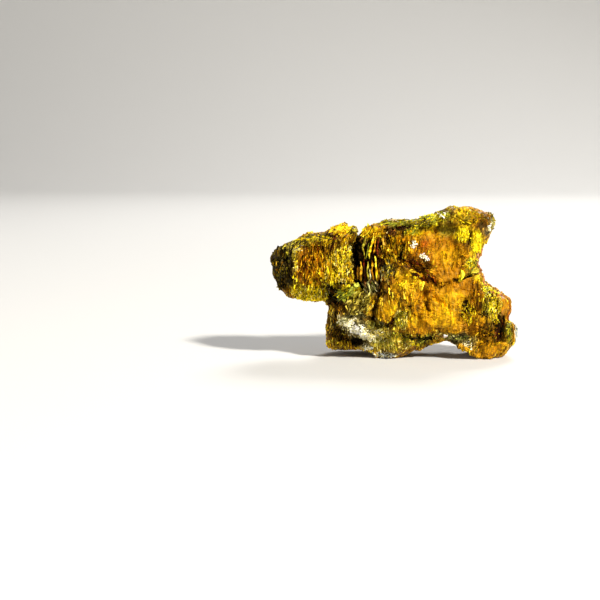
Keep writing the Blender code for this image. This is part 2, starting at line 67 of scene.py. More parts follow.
def latticeIndex(cell):
    # the lattice starts again after its last step
    return tuple((cell % latticeSide)[..., axis] for axis in range(3))


def cellAndPart(points, size):
    # the lattice cell that each point is in, and how far through it the point is, 0 to 1
    steps = points / np.array(size)
    cell = np.floor(steps).astype(int)
    return cell, steps - cell


def nearbySeeds(points, size, jitter):
    # for each of the 27 cells round a point: its index, and the way from its seed to the point
    cell, part = cellAndPart(points, size)
    for corner in np.ndindex(3, 3, 3):
        offset = np.array(corner) - 1
        index = latticeIndex(cell + offset)
        yield index, part - offset - jitter[index]


def valueNoise(points, size, seed):
    # random values on the lattice, blended smoothly between the eight corners of a cell; -1 to 1
    lattice = np.random.default_rng(seed).uniform(-1, 1, (latticeSide,) * 3)
    cell, part = cellAndPart(points, size)
    part = part * part * (3 - 2 * part)
    total = np.zeros(points.shape[:-1])
    for corner in np.ndindex(2, 2, 2):
        weight = np.prod(np.where(corner, part, 1 - part), axis=-1)
        total += weight * lattice[latticeIndex(cell + corner)]
    return total


def facetNoise(points, size, sharpness, seed):
    # each point takes its nearest seed's tilted plane: half the level + the tilt * the way from it; -1 to 1
    rng = np.random.default_rng(seed)
    jitter = rng.uniform(*seedSpread, (latticeSide,) * 3 + (3,))
    level = rng.uniform(-1, 1, (latticeSide,) * 3)
    tilt = rng.uniform(-1, 1, (latticeSide,) * 3 + (3,))
    total = np.zeros(points.shape[:-1])
    weights = np.zeros(points.shape[:-1])
    for index, away in nearbySeeds(points, size, jitter):
        weight = np.exp(-sharpness * (away**2).sum(-1))
        total += weight * (0.5 * level[index] + (tilt[index] * away).sum(-1))
        weights += weight
    return total / np.maximum(weights, leastWeight)


def cellValues(points, size, seed):
    # four random values of the nearest seed, so that they jump from cell to cell; -1 to 1
    rng = np.random.default_rng(seed)
    jitter = rng.uniform(*seedSpread, (latticeSide,) * 3 + (3,))
    held = rng.uniform(-1, 1, (latticeSide,) * 3 + (4,))
    nearest = np.full(points.shape[:-1], np.inf)
    values = np.zeros(points.shape[:-1] + (4,))
    for index, away in nearbySeeds(points, size, jitter):
        distance = (away**2).sum(-1)
        closer = distance < nearest
        nearest = np.where(closer, distance, nearest)
        values = np.where(closer[..., None], held[index], values)
    return values


def inReaches(x, z, placeX, placeZ, reachX, reachZ):
    # the square of the distance from a place, counted in how far it reaches along X and Z
    return ((x - placeX) / reachX) ** 2 + ((z - placeZ) / reachZ) ** 2


def eased(low, share):
    # low where the share is 0 and 1 where it is 1
    return low + (1 - low) * share


def unit(vectors):
    # the same directions with a length of 1
    return vectors / np.maximum(np.linalg.norm(vectors, axis=-1, keepdims=True), tiny)


# the stone's form
stoneForm = {
    # the outline and the section that carries it from the front pole to the back pole
    "ringPoints": 524, "rings": 186, "knotSteps": 24, "sectionSteps": 4001, "boxiness": 3.8, "outWeight": 2.4,
    "pole": (-18.8, 39.4), "toMiddle": (-0.8, -0.5, 0.0), "inset": 0.02, "depthReach": 7.5,
    # grooves and ledges, and how ragged their edges are
    "grooveSquareness": 3.2, "ledgeWidth": 0.7, "ragged": 0.75, "raggedSize": (1.5, 1.0, 2.2),
    # blades in bundles: how many, their lean, and how their places, lengths and rises vary
    "bundle": 4, "bladeLean": 0.12, "bladeShift": 0.25, "bladeLengths": (0.6, 1.2), "bladeRises": (0.4, 1.2),
    "sideChamfer": 1.7, "endChamfer": 4,
    # relief from blocks down to fibres: its size along X, Y and Z, and how far it rises
    "blockSize": (12.0, 12.0, 12.0), "blockRise": 2.0, "blockCrispness": 16,
    "columnSize": (3.2, 4.2, 10.0), "columnRise": 0.9, "columnCrispness": 22,
    "lumpSize": (4.2, 4.2, 6.4), "lumpRise": 0.85, "splinterSize": (1.9, 2.0, 4.8), "splinterRise": 0.62,
    "fibreSize": (0.9, 1.0, 3.0), "fibreRise": 0.30, "crispness": 110,
    "bundleSize": (2.6, 2.6, 4.8), "bundleRise": 0.42, "smoothRelief": 0.4, "leastFibrous": 0.1,
    # the relief calms down towards the rim, the way out turns there, and a break ends softly
    "rimCalm": 0.45, "rimPower": 8, "rimFrom": 0.7, "normalSpan": 7, "faceWeight": 1.8, "breakEdge": 4,
}
outline = [
    (-49.2, 37.2), (-48.0, 41.2), (-45.4, 42.9), (-42.6, 43.7), (-39.6, 45.2), (-35.6, 47.2),
    (-31.6, 48.1), (-27.6, 48.6), (-24.6, 50.4), (-21.0, 52.2), (-18.8, 52.3), (-17.2, 50.6),
    (-15.4, 51.4), (-13.9, 50.2), (-14.2, 48.4), (-13.3, 47.2), (-12.0, 48.3), (-9.8, 50.6),
    (-6.8, 51.7), (-4.4, 52.5), (-1.8, 53.6), (3.2, 53.7), (8.4, 53.9), (12.4, 54.8), (16.4, 55.9),
    (20.4, 57.3), (24.4, 58.8), (28.4, 59.8), (31.2, 59.6), (34.4, 58.2), (38.0, 57.2), (39.6, 55.8),
    (40.4, 53.4), (39.4, 50.8), (38.4, 48.5), (36.5, 45.7), (35.3, 43.5), (34.6, 41.0), (33.6, 38.1),
    (33.8, 35.6), (35.0, 33.0), (37.2, 30.0), (39.6, 27.0), (42.4, 25.1), (45.0, 24.0), (46.2, 22.8),
    (46.4, 20.6), (45.7, 16.0), (46.3, 14.0), (48.9, 12.0), (48.9, 7.4), (46.8, 4.0), (44.0, 1.4),
    (41.4, -0.8), (38.6, -1.6), (36.6, -1.1), (34.8, -0.1), (31.8, 1.7), (28.4, 3.9), (23.2, 6.4),
    (18.4, 6.4), (14.4, 5.4), (10.4, 3.8), (5.2, 0.6), (1.0, -1.6), (-4.0, -1.6), (-7.2, 0.8),
    (-11.6, 2.6), (-18.8, 2.2), (-23.8, 2.4), (-26.0, 4.2), (-26.0, 8.4), (-25.5, 12.0), (-24.9, 16.0),
    (-24.6, 19.2), (-26.2, 21.6), (-28.2, 22.6), (-31.6, 22.6), (-35.6, 22.3), (-39.6, 23.4),
    (-42.2, 24.8), (-44.4, 27.6), (-46.2, 31.0), (-47.6, 34.3),
]

# how far each face stands from the middle plane, at places (X, Z, depth) blended between
frontDepths = [
    (-47, 37, 12.0), (-36, 36, 13.6), (-21, 40, 14.4), (-32, 25, 11.0), (-20, 49, 10.5), (-14, 37, 11.5),
    (-8, 38, 15.0), (-7, 49, 14.5), (10, 52, 11.5), (0, 38, 16.6), (18, 36, 15.0), (32, 54, 12.5),
    (31, 40, 11.5), (-14, 22, 18.0), (2, 18, 19.5), (18, 22, 18.5), (38, 19, 15.0), (-20, 8, 14.5),
    (0, 5, 16.0), (21, 9, 14.0), (38, 6, 14.5),
]
backDepths = [
    (-46, 36, 7.0), (-34, 40, 12.0), (-33, 26, 8.5), (-19, 34, 10.5), (-8, 47, 12.0), (-18, 10, 17.0),
    (2, 32, 18.5), (12, 50, 11.0), (31, 54, 8.5), (30, 38, 12.0), (8, 14, 18.5), (40, 20, 13.5),
    (39, 5, 13.5),
]
# grooves: the path, half the width, the depth
frontGrooves = {
    "cleft": ([(-14.0, 46.6), (-14.6, 42.1), (-13.7, 37.7), (-12.8, 33.7), (-12.2, 29.8)], 1.35, 7.0),
    "crack over the cleft": ([(-13.4, 49.8), (-14.0, 46.8)], 0.7, 3.0),
    "cleft heart": ([(-14.5, 44.0), (-13.9, 39.1)], 1.9, 5.0),
    "hollow under the lobe": ([(-24.6, 28.4), (-23.7, 25.4), (-22.9, 22.5)], 1.9, 5.0),
    "slit behind the chip": ([(-12.2, 29.0), (-15.1, 26.1), (-18.4, 23.5), (-21.8, 22.0)], 1.1, 3.5),
    "standing crack": ([(-4.4, 31.3), (-4.8, 25.9), (-6.0, 21.0), (-6.9, 16.6)], 1.2, 4.0),
    "crack under the golden lobe": ([(-6.2, 14.7), (-2.7, 13.7), (0.3, 15.7), (3.6, 18.5)], 1.0, 3.0),
    "short crack": ([(13.9, 24.5), (14.2, 20.8)], 0.8, 1.8),
    "low crack": ([(3.9, 10.4), (8.4, 9.6), (13.1, 8.8)], 0.9, 2.2),
    "realgar seam": ([(3.0, 40.0), (5.8, 38.9), (9.4, 37.1), (12.9, 33.0), (16.6, 30.2)], 1.5, 1.7),
    "bay crack": ([(20.5, 30.2), (24.9, 31.2), (28.6, 32.4), (33.1, 34.7)], 0.7, 1.6),
    "shadow under the crest": ([(-1.9, 50.4), (1.6, 51.8), (6.5, 52.4), (14.0, 52.4)], 0.9, 1.6),
    "olive hollow": ([(18.0, 50.4), (22.8, 50.2)], 2.6, 1.4),
    "right seam": ([(44.8, 17.5), (42.4, 13.2), (43.4, 7.7)], 1.3, 2.4),
    "pit in the right lobe": ([(28.0, 22.4), (30.4, 19.6)], 1.8, 2.4),
    "fluted hollow": ([(32.3, 27.9), (32.7, 19.0)], 2.4, 1.6),
    "hollow at the left base": ([(-19.4, 7.7), (-14.5, 6.7), (-10.6, 7.7)], 1.7, 3.6),
    "undercut over the chalk": ([(-17.4, 16.9), (-11.6, 16.3), (-7.7, 16.7)], 1.5, 1.7),
    "pocket of the ribs": ([(-8.3, 46.5), (-8.3, 32.8)], 5.4, 3.4),
}
backGrooves = {
    "waist": ([(-14.6, 50.0), (-16.8, 41.0), (-20.0, 30.0), (-24.4, 20.4)], 3.0, 5.0),
    "long seam": ([(-4.0, 52.0), (2.0, 40.0), (4.0, 26.0), (12.0, 12.0)], 1.6, 2.8),
    "cross seam": ([(3.4, 33.0), (16.0, 36.0), (32.0, 33.0)], 1.5, 2.4),
    "low hollow": ([(20.0, 11.0), (30.0, 12.0)], 3.2, 3.0),
}
# ledges: the path, how far the ground on its left rises above its right, how far that carries
frontLedges = {
    "edge of the end face": ([(-38.8, 26.5), (-38.0, 34.7), (-38.6, 46.5)], -2.2, 9.0),
    "crest band": ([(-8.7, 48.0), (-1.9, 51.6), (9.8, 51.8), (21.4, 52.6), (27.3, 53.7)], 1.8, 7.0),
    "realgar step": ([(17.9, 24.9), (14.1, 30.0), (7.8, 36.5), (2.4, 40.2)], 2.2, 9.0),
    "golden lobe's lip": ([(4.9, 19.8), (0.4, 14.7), (-6.2, 14.1)], -1.6, 8.0),
    "shelf in the bay": ([(21.4, 29.8), (28.2, 31.8), (33.5, 34.7)], 1.8, 6.0),
    "chalk band": ([(-22.3, 16.1), (-15.9, 15.5), (-8.7, 10.6), (3.9, 8.8), (11.7, 8.1)], 1.6, 6.0),
}
backLedges = {
    "upper step": ([(-8.0, 44.0), (8.0, 46.4), (24.0, 43.0), (36.0, 45.0)], -2.6, 12.0),
    "lower step": ([(40.0, 24.0), (22.0, 20.0), (4.0, 22.0), (-14.0, 18.0)], 2.4, 11.0),
}
# upright blades in bundles: the X and Z range, how many bundles, a blade's width, length and rise
frontBlades = {
    "lobe by the cleft": ((-22, -17), (31, 46), 5, 1.6, 7.0, 1.0),
    "left lobe": ((-37, -25), (28, 45), 8, 1.8, 7.0, 1.0),
    "lobe's end": ((-46, -41), (29, 41), 3, 1.8, 8.0, 0.9),
    "olive flat": ((-2, 7), (36, 47), 5, 1.7, 7.0, 0.9),
    "middle": ((6, 26), (18, 46), 6, 2.0, 6.0, 0.6),
    "right lobe": ((28, 44), (12, 26), 8, 1.7, 6.5, 1.0),
    "right of the bay": ((26, 32), (39, 53), 4, 1.8, 7.0, 1.0),
}
backBlades = {
    "lobe's back": ((-43, -25), (28, 45), 7, 2.2, 9.0, 1.2),
    "back": ((-10, 30), (10, 46), 14, 2.4, 11.0, 1.2),
    "right of the back": ((31, 44), (8, 26), 5, 2.0, 7.0, 1.1),
}
# flat breaks: a place on the plane, the way out of the stone, how far the break reaches
breaks = [
    ((-38.6, -12.6, 36.0), (-0.80, -0.60, 0.05), 19.0), ((-36.0, -8.6, 23.8), (-0.10, -0.50, -0.86), 8.0),
    ((-31.0, -10.4, 46.6), (-0.16, -0.50, 0.85), 10.0), ((-20.0, -8.6, 49.6), (0.20, -0.60, 0.78), 6.0),
    ((33.0, -9.4, 56.6), (0.25, -0.60, 0.76), 12.0), ((31.0, -11.6, 46.0), (0.46, -0.86, 0.22), 9.0),
    ((33.0, -7.6, 37.0), (0.78, -0.62, 0.08), 9.0), ((-19.0, -14.2, 21.0), (-0.66, -0.74, 0.10), 8.0),
    ((1.6, -19.0, 19.0), (-0.12, -0.97, 0.20), 7.0), ((19.0, -17.6, 24.0), (0.10, -0.97, 0.22), 12.0),
    ((38.0, -14.4, 19.0), (0.34, -0.92, 0.18), 9.0), ((41.0, -10.8, 4.4), (0.48, -0.60, -0.64), 8.0),
    ((4.0, -14.4, 5.0), (0.02, -0.80, -0.60), 9.0), ((-40.0, 7.6, 38.0), (-0.60, 0.79, 0.12), 14.0),
    ((-29.0, 9.6, 43.6), (0.10, 0.72, 0.69), 11.0), ((4.0, 9.4, 48.6), (-0.05, 0.70, 0.71), 17.0),
    ((33.0, 5.8, 50.0), (0.46, 0.83, 0.30), 13.0), ((-8.0, 15.4, 32.0), (-0.38, 0.92, 0.10), 15.0),
    ((12.0, 16.6, 30.0), (0.16, 0.98, 0.12), 16.0), ((42.0, 8.0, 16.0), (0.70, 0.70, 0.14), 15.0),
    ((10.0, 14.6, 9.0), (0.05, 0.84, -0.54), 17.0), ((-21.0, 11.6, 12.0), (-0.70, 0.70, -0.16), 13.0),
]
# where the stone breaks into fine upright fibres and where it is smoother and granular: places on the front,
# X, Z, reach X, reach Z, and how smooth, 0 to 1
smoothGround = {
    "wide middle": (17, 23.5, 9, 7, 0.97), "orange middle": (18, 42.5, 8.5, 6, 0.8),
    "low middle": (24, 33, 6, 5, 0.85), "ridge by the seam": (5, 29.5, 4.5, 3.5, 0.7),
    "golden lobe": (-1.2, 20.5, 3.8, 4.2, 0.95), "horn": (31, 55.4, 7, 3.2, 0.7),
    "wide middle, low": (21, 15.5, 8, 4, 0.75), "right foot": (38, 4.6, 6, 3.4, 0.7),
    "cheek": (44, 20.6, 2.2, 4.4, 0.9), "brown columns": (32.2, 25, 2.6, 4.4, 0.7),
    "crest band": (4, 53.4, 10, 1.5, 0.6), "olive hollow": (20.5, 51, 4.6, 2.6, 0.85),
    "low right": (31.5, 13.4, 6.4, 3.2, 0.7), "over the arch": (24.5, 8.8, 6, 1.8, 0.6),
    "icy edge": (48.8, 9, 1.4, 4.4, 0.5), "left of the low middle": (11, 14.4, 5, 3, 0.8),
    "under the crest": (15, 49.6, 5, 2.6, 0.7), "right of the middle": (26, 40, 4, 7, 0.75),
    "over the columns": (26, 28.4, 4.6, 3.6, 0.8), "olive flat": (1.4, 43, 6, 6, 0.4),
    "ridge, left": (4.6, 32.4, 5, 4, 0.5), "olive block": (-14, 22, 4, 3.6, 0.45),
    "low middle's face": (2, 8, 7, 4, 0.35), "brow": (-8, 50.6, 4.6, 2.2, 0.5),
}
frontFace = (frontDepths, frontGrooves, frontLedges, frontBlades)
backFace = (backDepths, backGrooves, backLedges, backBlades)


# the stone's skin
def insideBox(points):
    # the looks stay inside the solid's own box
    return np.clip(points, lowCorner + stoneForm["inset"], highCorner - stoneForm["inset"])


def fibrousShare(points):
    # 1, less a bell curve round each smooth place of the front
    x, y, z = points.T
    share = np.ones(len(points))
    for *patch, smooth in smoothGround.values():
        share -= smooth * np.exp(-inReaches(x, z, *patch)) * (y < 0)
    return np.clip(share, stoneForm["leastFibrous"], 1)


def lengthAlong(stepX, stepY):
    # how far along a line each of its points is, from the steps between them
    return np.concatenate([[0], np.cumsum(np.hypot(stepX, stepY))])


def splineThrough(points, count):
    # closed Catmull-Rom curve through the points, read at places of equal arc length
    knots = np.array(points, float)
    ahead, behind, beyond = np.roll(knots, -1, 0), np.roll(knots, 1, 0), np.roll(knots, -2, 0)
    share = np.linspace(0, 1, stoneForm["knotSteps"], endpoint=False)[:, None, None]
    dense = 0.5 * (
        2 * knots
        + (ahead - behind) * share
        + (2 * behind - 5 * knots + 4 * ahead - beyond) * share**2
        + (3 * knots - behind - 3 * ahead + beyond) * share**3
    )
    dense = dense.transpose(1, 0, 2).reshape(-1, 2)
    closed = np.vstack([dense, dense[:1]])
    length = lengthAlong(*np.diff(closed, axis=0).T)
    places = np.linspace(0, length[-1], count, endpoint=False)
    return np.column_stack([np.interp(places, length, closed[:, axis]) for axis in (0, 1)])


def sectionProfile(count):
    # how far out and how far forward each ring is: even steps along a superellipse
    turn = np.linspace(0, math.pi, stoneForm["sectionSteps"])
    power = 2 / stoneForm["boxiness"]
    out = np.sin(turn) ** power
    forward = np.sign(np.cos(turn)) * np.abs(np.cos(turn)) ** power
    length = lengthAlong(np.diff(out) * stoneForm["outWeight"], np.diff(forward))
    places = np.linspace(0, length[-1], count + 2)[1:-1]
    return np.interp(places, length, out), np.interp(places, length, forward)


def blendedDepth(x, z, depths):
    # the listed depths, each weighed by a bell curve round its place
    total, weights = np.zeros_like(x), np.full_like(x, tiny)
    for placeX, placeZ, depth in depths:
        near = np.exp(-((x - placeX) ** 2 + (z - placeZ) ** 2) / (2 * stoneForm["depthReach"] ** 2))
        total += near * depth
        weights += near
    return total / weights


def toPath(x, z, path):
    # distance to a chain of straight runs, positive on the left of the way it runs
    nearest, signed = np.full_like(x, np.inf), np.zeros_like(x)
    for (ax, az), (bx, bz) in zip(path, path[1:]):
        runX, runZ = bx - ax, bz - az
        share = np.clip(((x - ax) * runX + (z - az) * runZ) / (runX**2 + runZ**2), 0, 1)
        offX, offZ = x - ax - share * runX, z - az - share * runZ
        distance = np.hypot(offX, offZ)
        closer = distance < nearest
        nearest = np.where(closer, distance, nearest)
        signed = np.where(closer, np.sign(runX * offZ - runZ * offX) * distance, signed)
    return signed


def bladeRelief(x, z, patches, seed):
    # how far the bundled blades raise the face: flat-topped bars with chamfered sides and ends
    form = stoneForm
    rng = np.random.default_rng(seed)
    height = np.zeros_like(x)
    for xs, zs, bundles, width, length, rise in patches.values():
        for _ in range(bundles):
            firstX, firstZ = rng.uniform(*xs), rng.uniform(*zs)
            lean = rng.uniform(-form["bladeLean"], form["bladeLean"])
            for i in range(form["bundle"]):
                middleZ = firstZ + rng.uniform(-form["bladeShift"], form["bladeShift"]) * length
                long = length * rng.uniform(*form["bladeLengths"])
                tall = rise * rng.uniform(*form["bladeRises"])
                along = 1 - np.abs(z - middleZ) * 2 / long
                across = 1 - np.abs(x - firstX - width * i - lean * (z - middleZ)) * 2 / width
                sides = np.clip(across * form["sideChamfer"], 0, 1)
                ends = np.clip(along * form["endChamfer"], 0, 1)
                height = np.maximum(height, tall * sides * ends)
    return height


def workedFace(x, z, grooves, ledges):
    # ledges lift one side of their path, grooves sink theirs; gives the height and how deep the grooves are.
    # X and Z are shaken a little first, which leaves the edges ragged
    form = stoneForm
    spots = np.stack([x, np.zeros_like(x), z], axis=-1)
    x = x + form["ragged"] * valueNoise(spots, form["raggedSize"], seed=24)
    z = z + form["ragged"] * valueNoise(spots, form["raggedSize"], seed=25)
    height, hollow = np.zeros_like(x), np.zeros_like(x)
    for path, rise, carry in ledges.values():
        away = toPath(x, z, path)
        height += rise * 0.5 * np.tanh(away / form["ledgeWidth"]) * np.exp(-((away / carry) ** 2))
    for path, halfWidth, depth in grooves.values():
        away = np.abs(toPath(x, z, path)) / halfWidth
        hollow += depth * np.exp(-(away ** form["grooveSquareness"]))
    return height - hollow, hollow


def faceDepth(x, z, facing, show, depths, grooves, ledges, blades, seed):
    # how far one face stands from the middle plane, and how deep its grooves are
    height, hollow = workedFace(x, z, grooves, ledges)
    depth = blendedDepth(x, z, depths) * np.maximum(facing, 0) + height * show * (facing > 0)
    depth += bladeRelief(x, z, blades, seed) * show * (facing > 0)
    return depth, hollow


def brokenFlat(grid):
    # what stands out beyond a break's plane is pressed down on it, near its place
    for spot, way, reach in breaks:
        normal = np.array(way) / np.linalg.norm(way)
        offset = grid - np.array(spot)
        near = np.exp(-((np.linalg.norm(offset, axis=-1) / reach) ** stoneForm["breakEdge"]))
        grid = grid - (np.maximum(offset @ normal, 0) * near)[..., None] * normal
    return grid


def fineRelief(grid):
    # facets of three sizes and a step from bundle to bundle, calmer where the stone is smooth
    form = stoneForm
    crisp = form["crispness"]
    fine = form["splinterRise"] * facetNoise(grid, form["splinterSize"], crisp, seed=21)
    fine += form["fibreRise"] * facetNoise(grid, form["fibreSize"], crisp, seed=22)
    fine += form["lumpRise"] * facetNoise(grid, form["lumpSize"], crisp, seed=23)
    fine += form["bundleRise"] * cellValues(grid, form["bundleSize"], seed=63)[..., 1]
    return fine * eased(form["smoothRelief"], fibrousShare(grid.reshape(-1, 3)).reshape(fine.shape))


def outwardWays(line, out, forward):
    # smooth directions out of the stone: the outline's normal, turned forwards with the section
    span = stoneForm["normalSpan"]
    run = np.roll(line, -span, 0) - np.roll(line, span, 0)
    sideways = np.column_stack([-run[:, 1], run[:, 0]]) / np.hypot(*run.T)[:, None]
    power = stoneForm["boxiness"] - 1
    facing = -np.sign(forward) * np.abs(forward) ** power * stoneForm["faceWeight"]
    facing = np.broadcast_to(facing, (len(out), len(line)))
    return unit(np.stack([sideways[:, 0] * out**power, facing, sideways[:, 1] * out**power], axis=-1))


def stoneSkin():
    # skin(u, v): u runs round the outline and v from the front pole over the rim to the back pole.
    # X, Z = pole + (outline(u) - pole) * out(v);  Y = -forward(v) * depth(X, Z), worked, broken and roughened
    form = stoneForm
    line = splineThrough(outline, form["ringPoints"])
    out, forward = sectionProfile(form["rings"])
    out = np.concatenate([[0], out, [0]])[:, None]
    forward = np.concatenate([[1], forward, [-1]])[:, None]
    x, z = (form["pole"][axis] + (line[:, axis] - form["pole"][axis]) * out for axis in (0, 1))
    show = np.clip(np.abs(forward) / form["rimFrom"], 0, 1) ** 2
    front, frontHollow = faceDepth(x, z, forward, show, *frontFace, seed=5)
    back, backHollow = faceDepth(x, z, -forward, show, *backFace, seed=6)
    hollow = np.where(forward > 0, frontHollow, backHollow) * show
    grid = brokenFlat(np.stack([x, back - front, z], axis=-1))
    fine = fineRelief(grid)
    rough = form["blockRise"] * facetNoise(grid, form["blockSize"], form["blockCrispness"], seed=3)
    rough += form["columnRise"] * facetNoise(grid, form["columnSize"], form["columnCrispness"], seed=8)
    calm = 1 - form["rimCalm"] * out ** form["rimPower"]
    grid = grid + outwardWays(line, out, forward) * ((rough + fine) * calm)[..., None]
    grid[0], grid[-1] = grid[0].mean(0), grid[-1].mean(0)
    grid = grid + np.array(form["toMiddle"])
    return insideBox(grid), hollow, fine


def skinNormals(grid):
    # outward unit normals of the grid, smoothed over a small patch
    normals = unit(np.cross(np.roll(grid, -1, 1) - np.roll(grid, 1, 1), np.gradient(grid, axis=0)))
    smooth = sum(np.roll(normals, step, 1) for step in (-2, -1, 0, 1, 2))
    smooth[1:-1] += smooth[:-2] + smooth[2:]
    return unit(smooth)


skin, skinHollow, skinFine = stoneSkin()
skinWays = skinNormals(skin)
rings, around = skin.shape[:2]
print("stage: skin worked out,", rings, "rings of", around, "points")


# the stone's colours
def shade(red, green, blue):
    # screen values from 0 to 255 turned into the linear values that a shader reads
    return [((c / 255 + 0.055) / 1.055) ** 2.4 if c > 10 else c / 255 / 12.92 for c in (red, green, blue)]


# each kind of ground is four tones, from its shadows to its highlights, in screen values
kinds = {
    "golden": [(84, 50, 2), (182, 130, 4), (230, 184, 12), (252, 230, 62)],
    "amber": [(84, 48, 2), (168, 110, 3), (208, 152, 6), (240, 200, 30)],
    "ochre": [(66, 36, 1), (140, 86, 2), (174, 116, 3), (226, 176, 14)],
    "orange": [(84, 40, 2), (142, 80, 3), (174, 112, 6), (216, 164, 24)],
    "redOrange": [(84, 28, 4), (166, 74, 6), (206, 112, 10), (232, 158, 32)],
    "rust": [(38, 18, 4), (104, 62, 6), (156, 104, 10), (208, 166, 36)],
    "maroon": [(14, 4, 4), (50, 9, 8), (98, 24, 10), (158, 62, 20)],
    # near-black, painted where shade falls: in cracks, hollows, the cleft and the gaps between fibres
    "dark": [(4, 3, 2), (14, 9, 4), (34, 22, 8), (80, 60, 24)],
    "lemon": [(100, 74, 2), (190, 158, 4), (234, 208, 8), (252, 240, 56)],
    "olive": [(24, 17, 2), (84, 68, 8), (136, 116, 16), (196, 182, 52)],
    "green": [(26, 30, 6), (86, 92, 18), (144, 148, 34), (208, 210, 84)],
    "greyGreen": [(30, 32, 18), (92, 90, 48), (150, 144, 82), (208, 202, 138)],
    "khaki": [(6, 4, 2), (30, 20, 7), (74, 54, 16), (156, 134, 62)],
    "straw": [(104, 84, 14), (190, 166, 46), (236, 216, 90), (253, 244, 158)],
    "cream": [(96, 84, 44), (186, 172, 108), (232, 222, 166), (253, 249, 220)],
    "white": [(150, 140, 124), (222, 216, 204), (246, 243, 236), (255, 254, 251)],
    "terracotta": [(84, 44, 22), (144, 86, 48), (186, 122, 72), (222, 168, 112)],
    "iceBlue": [(56, 58, 52), (124, 130, 126), (182, 188, 184), (230, 234, 232)],
}
kindNames = list(kinds)
kindTones = np.array([[shade(*tone) for tone in tones] for tones in kinds.values()])
lastTone = kindTones.shape[1] - 1

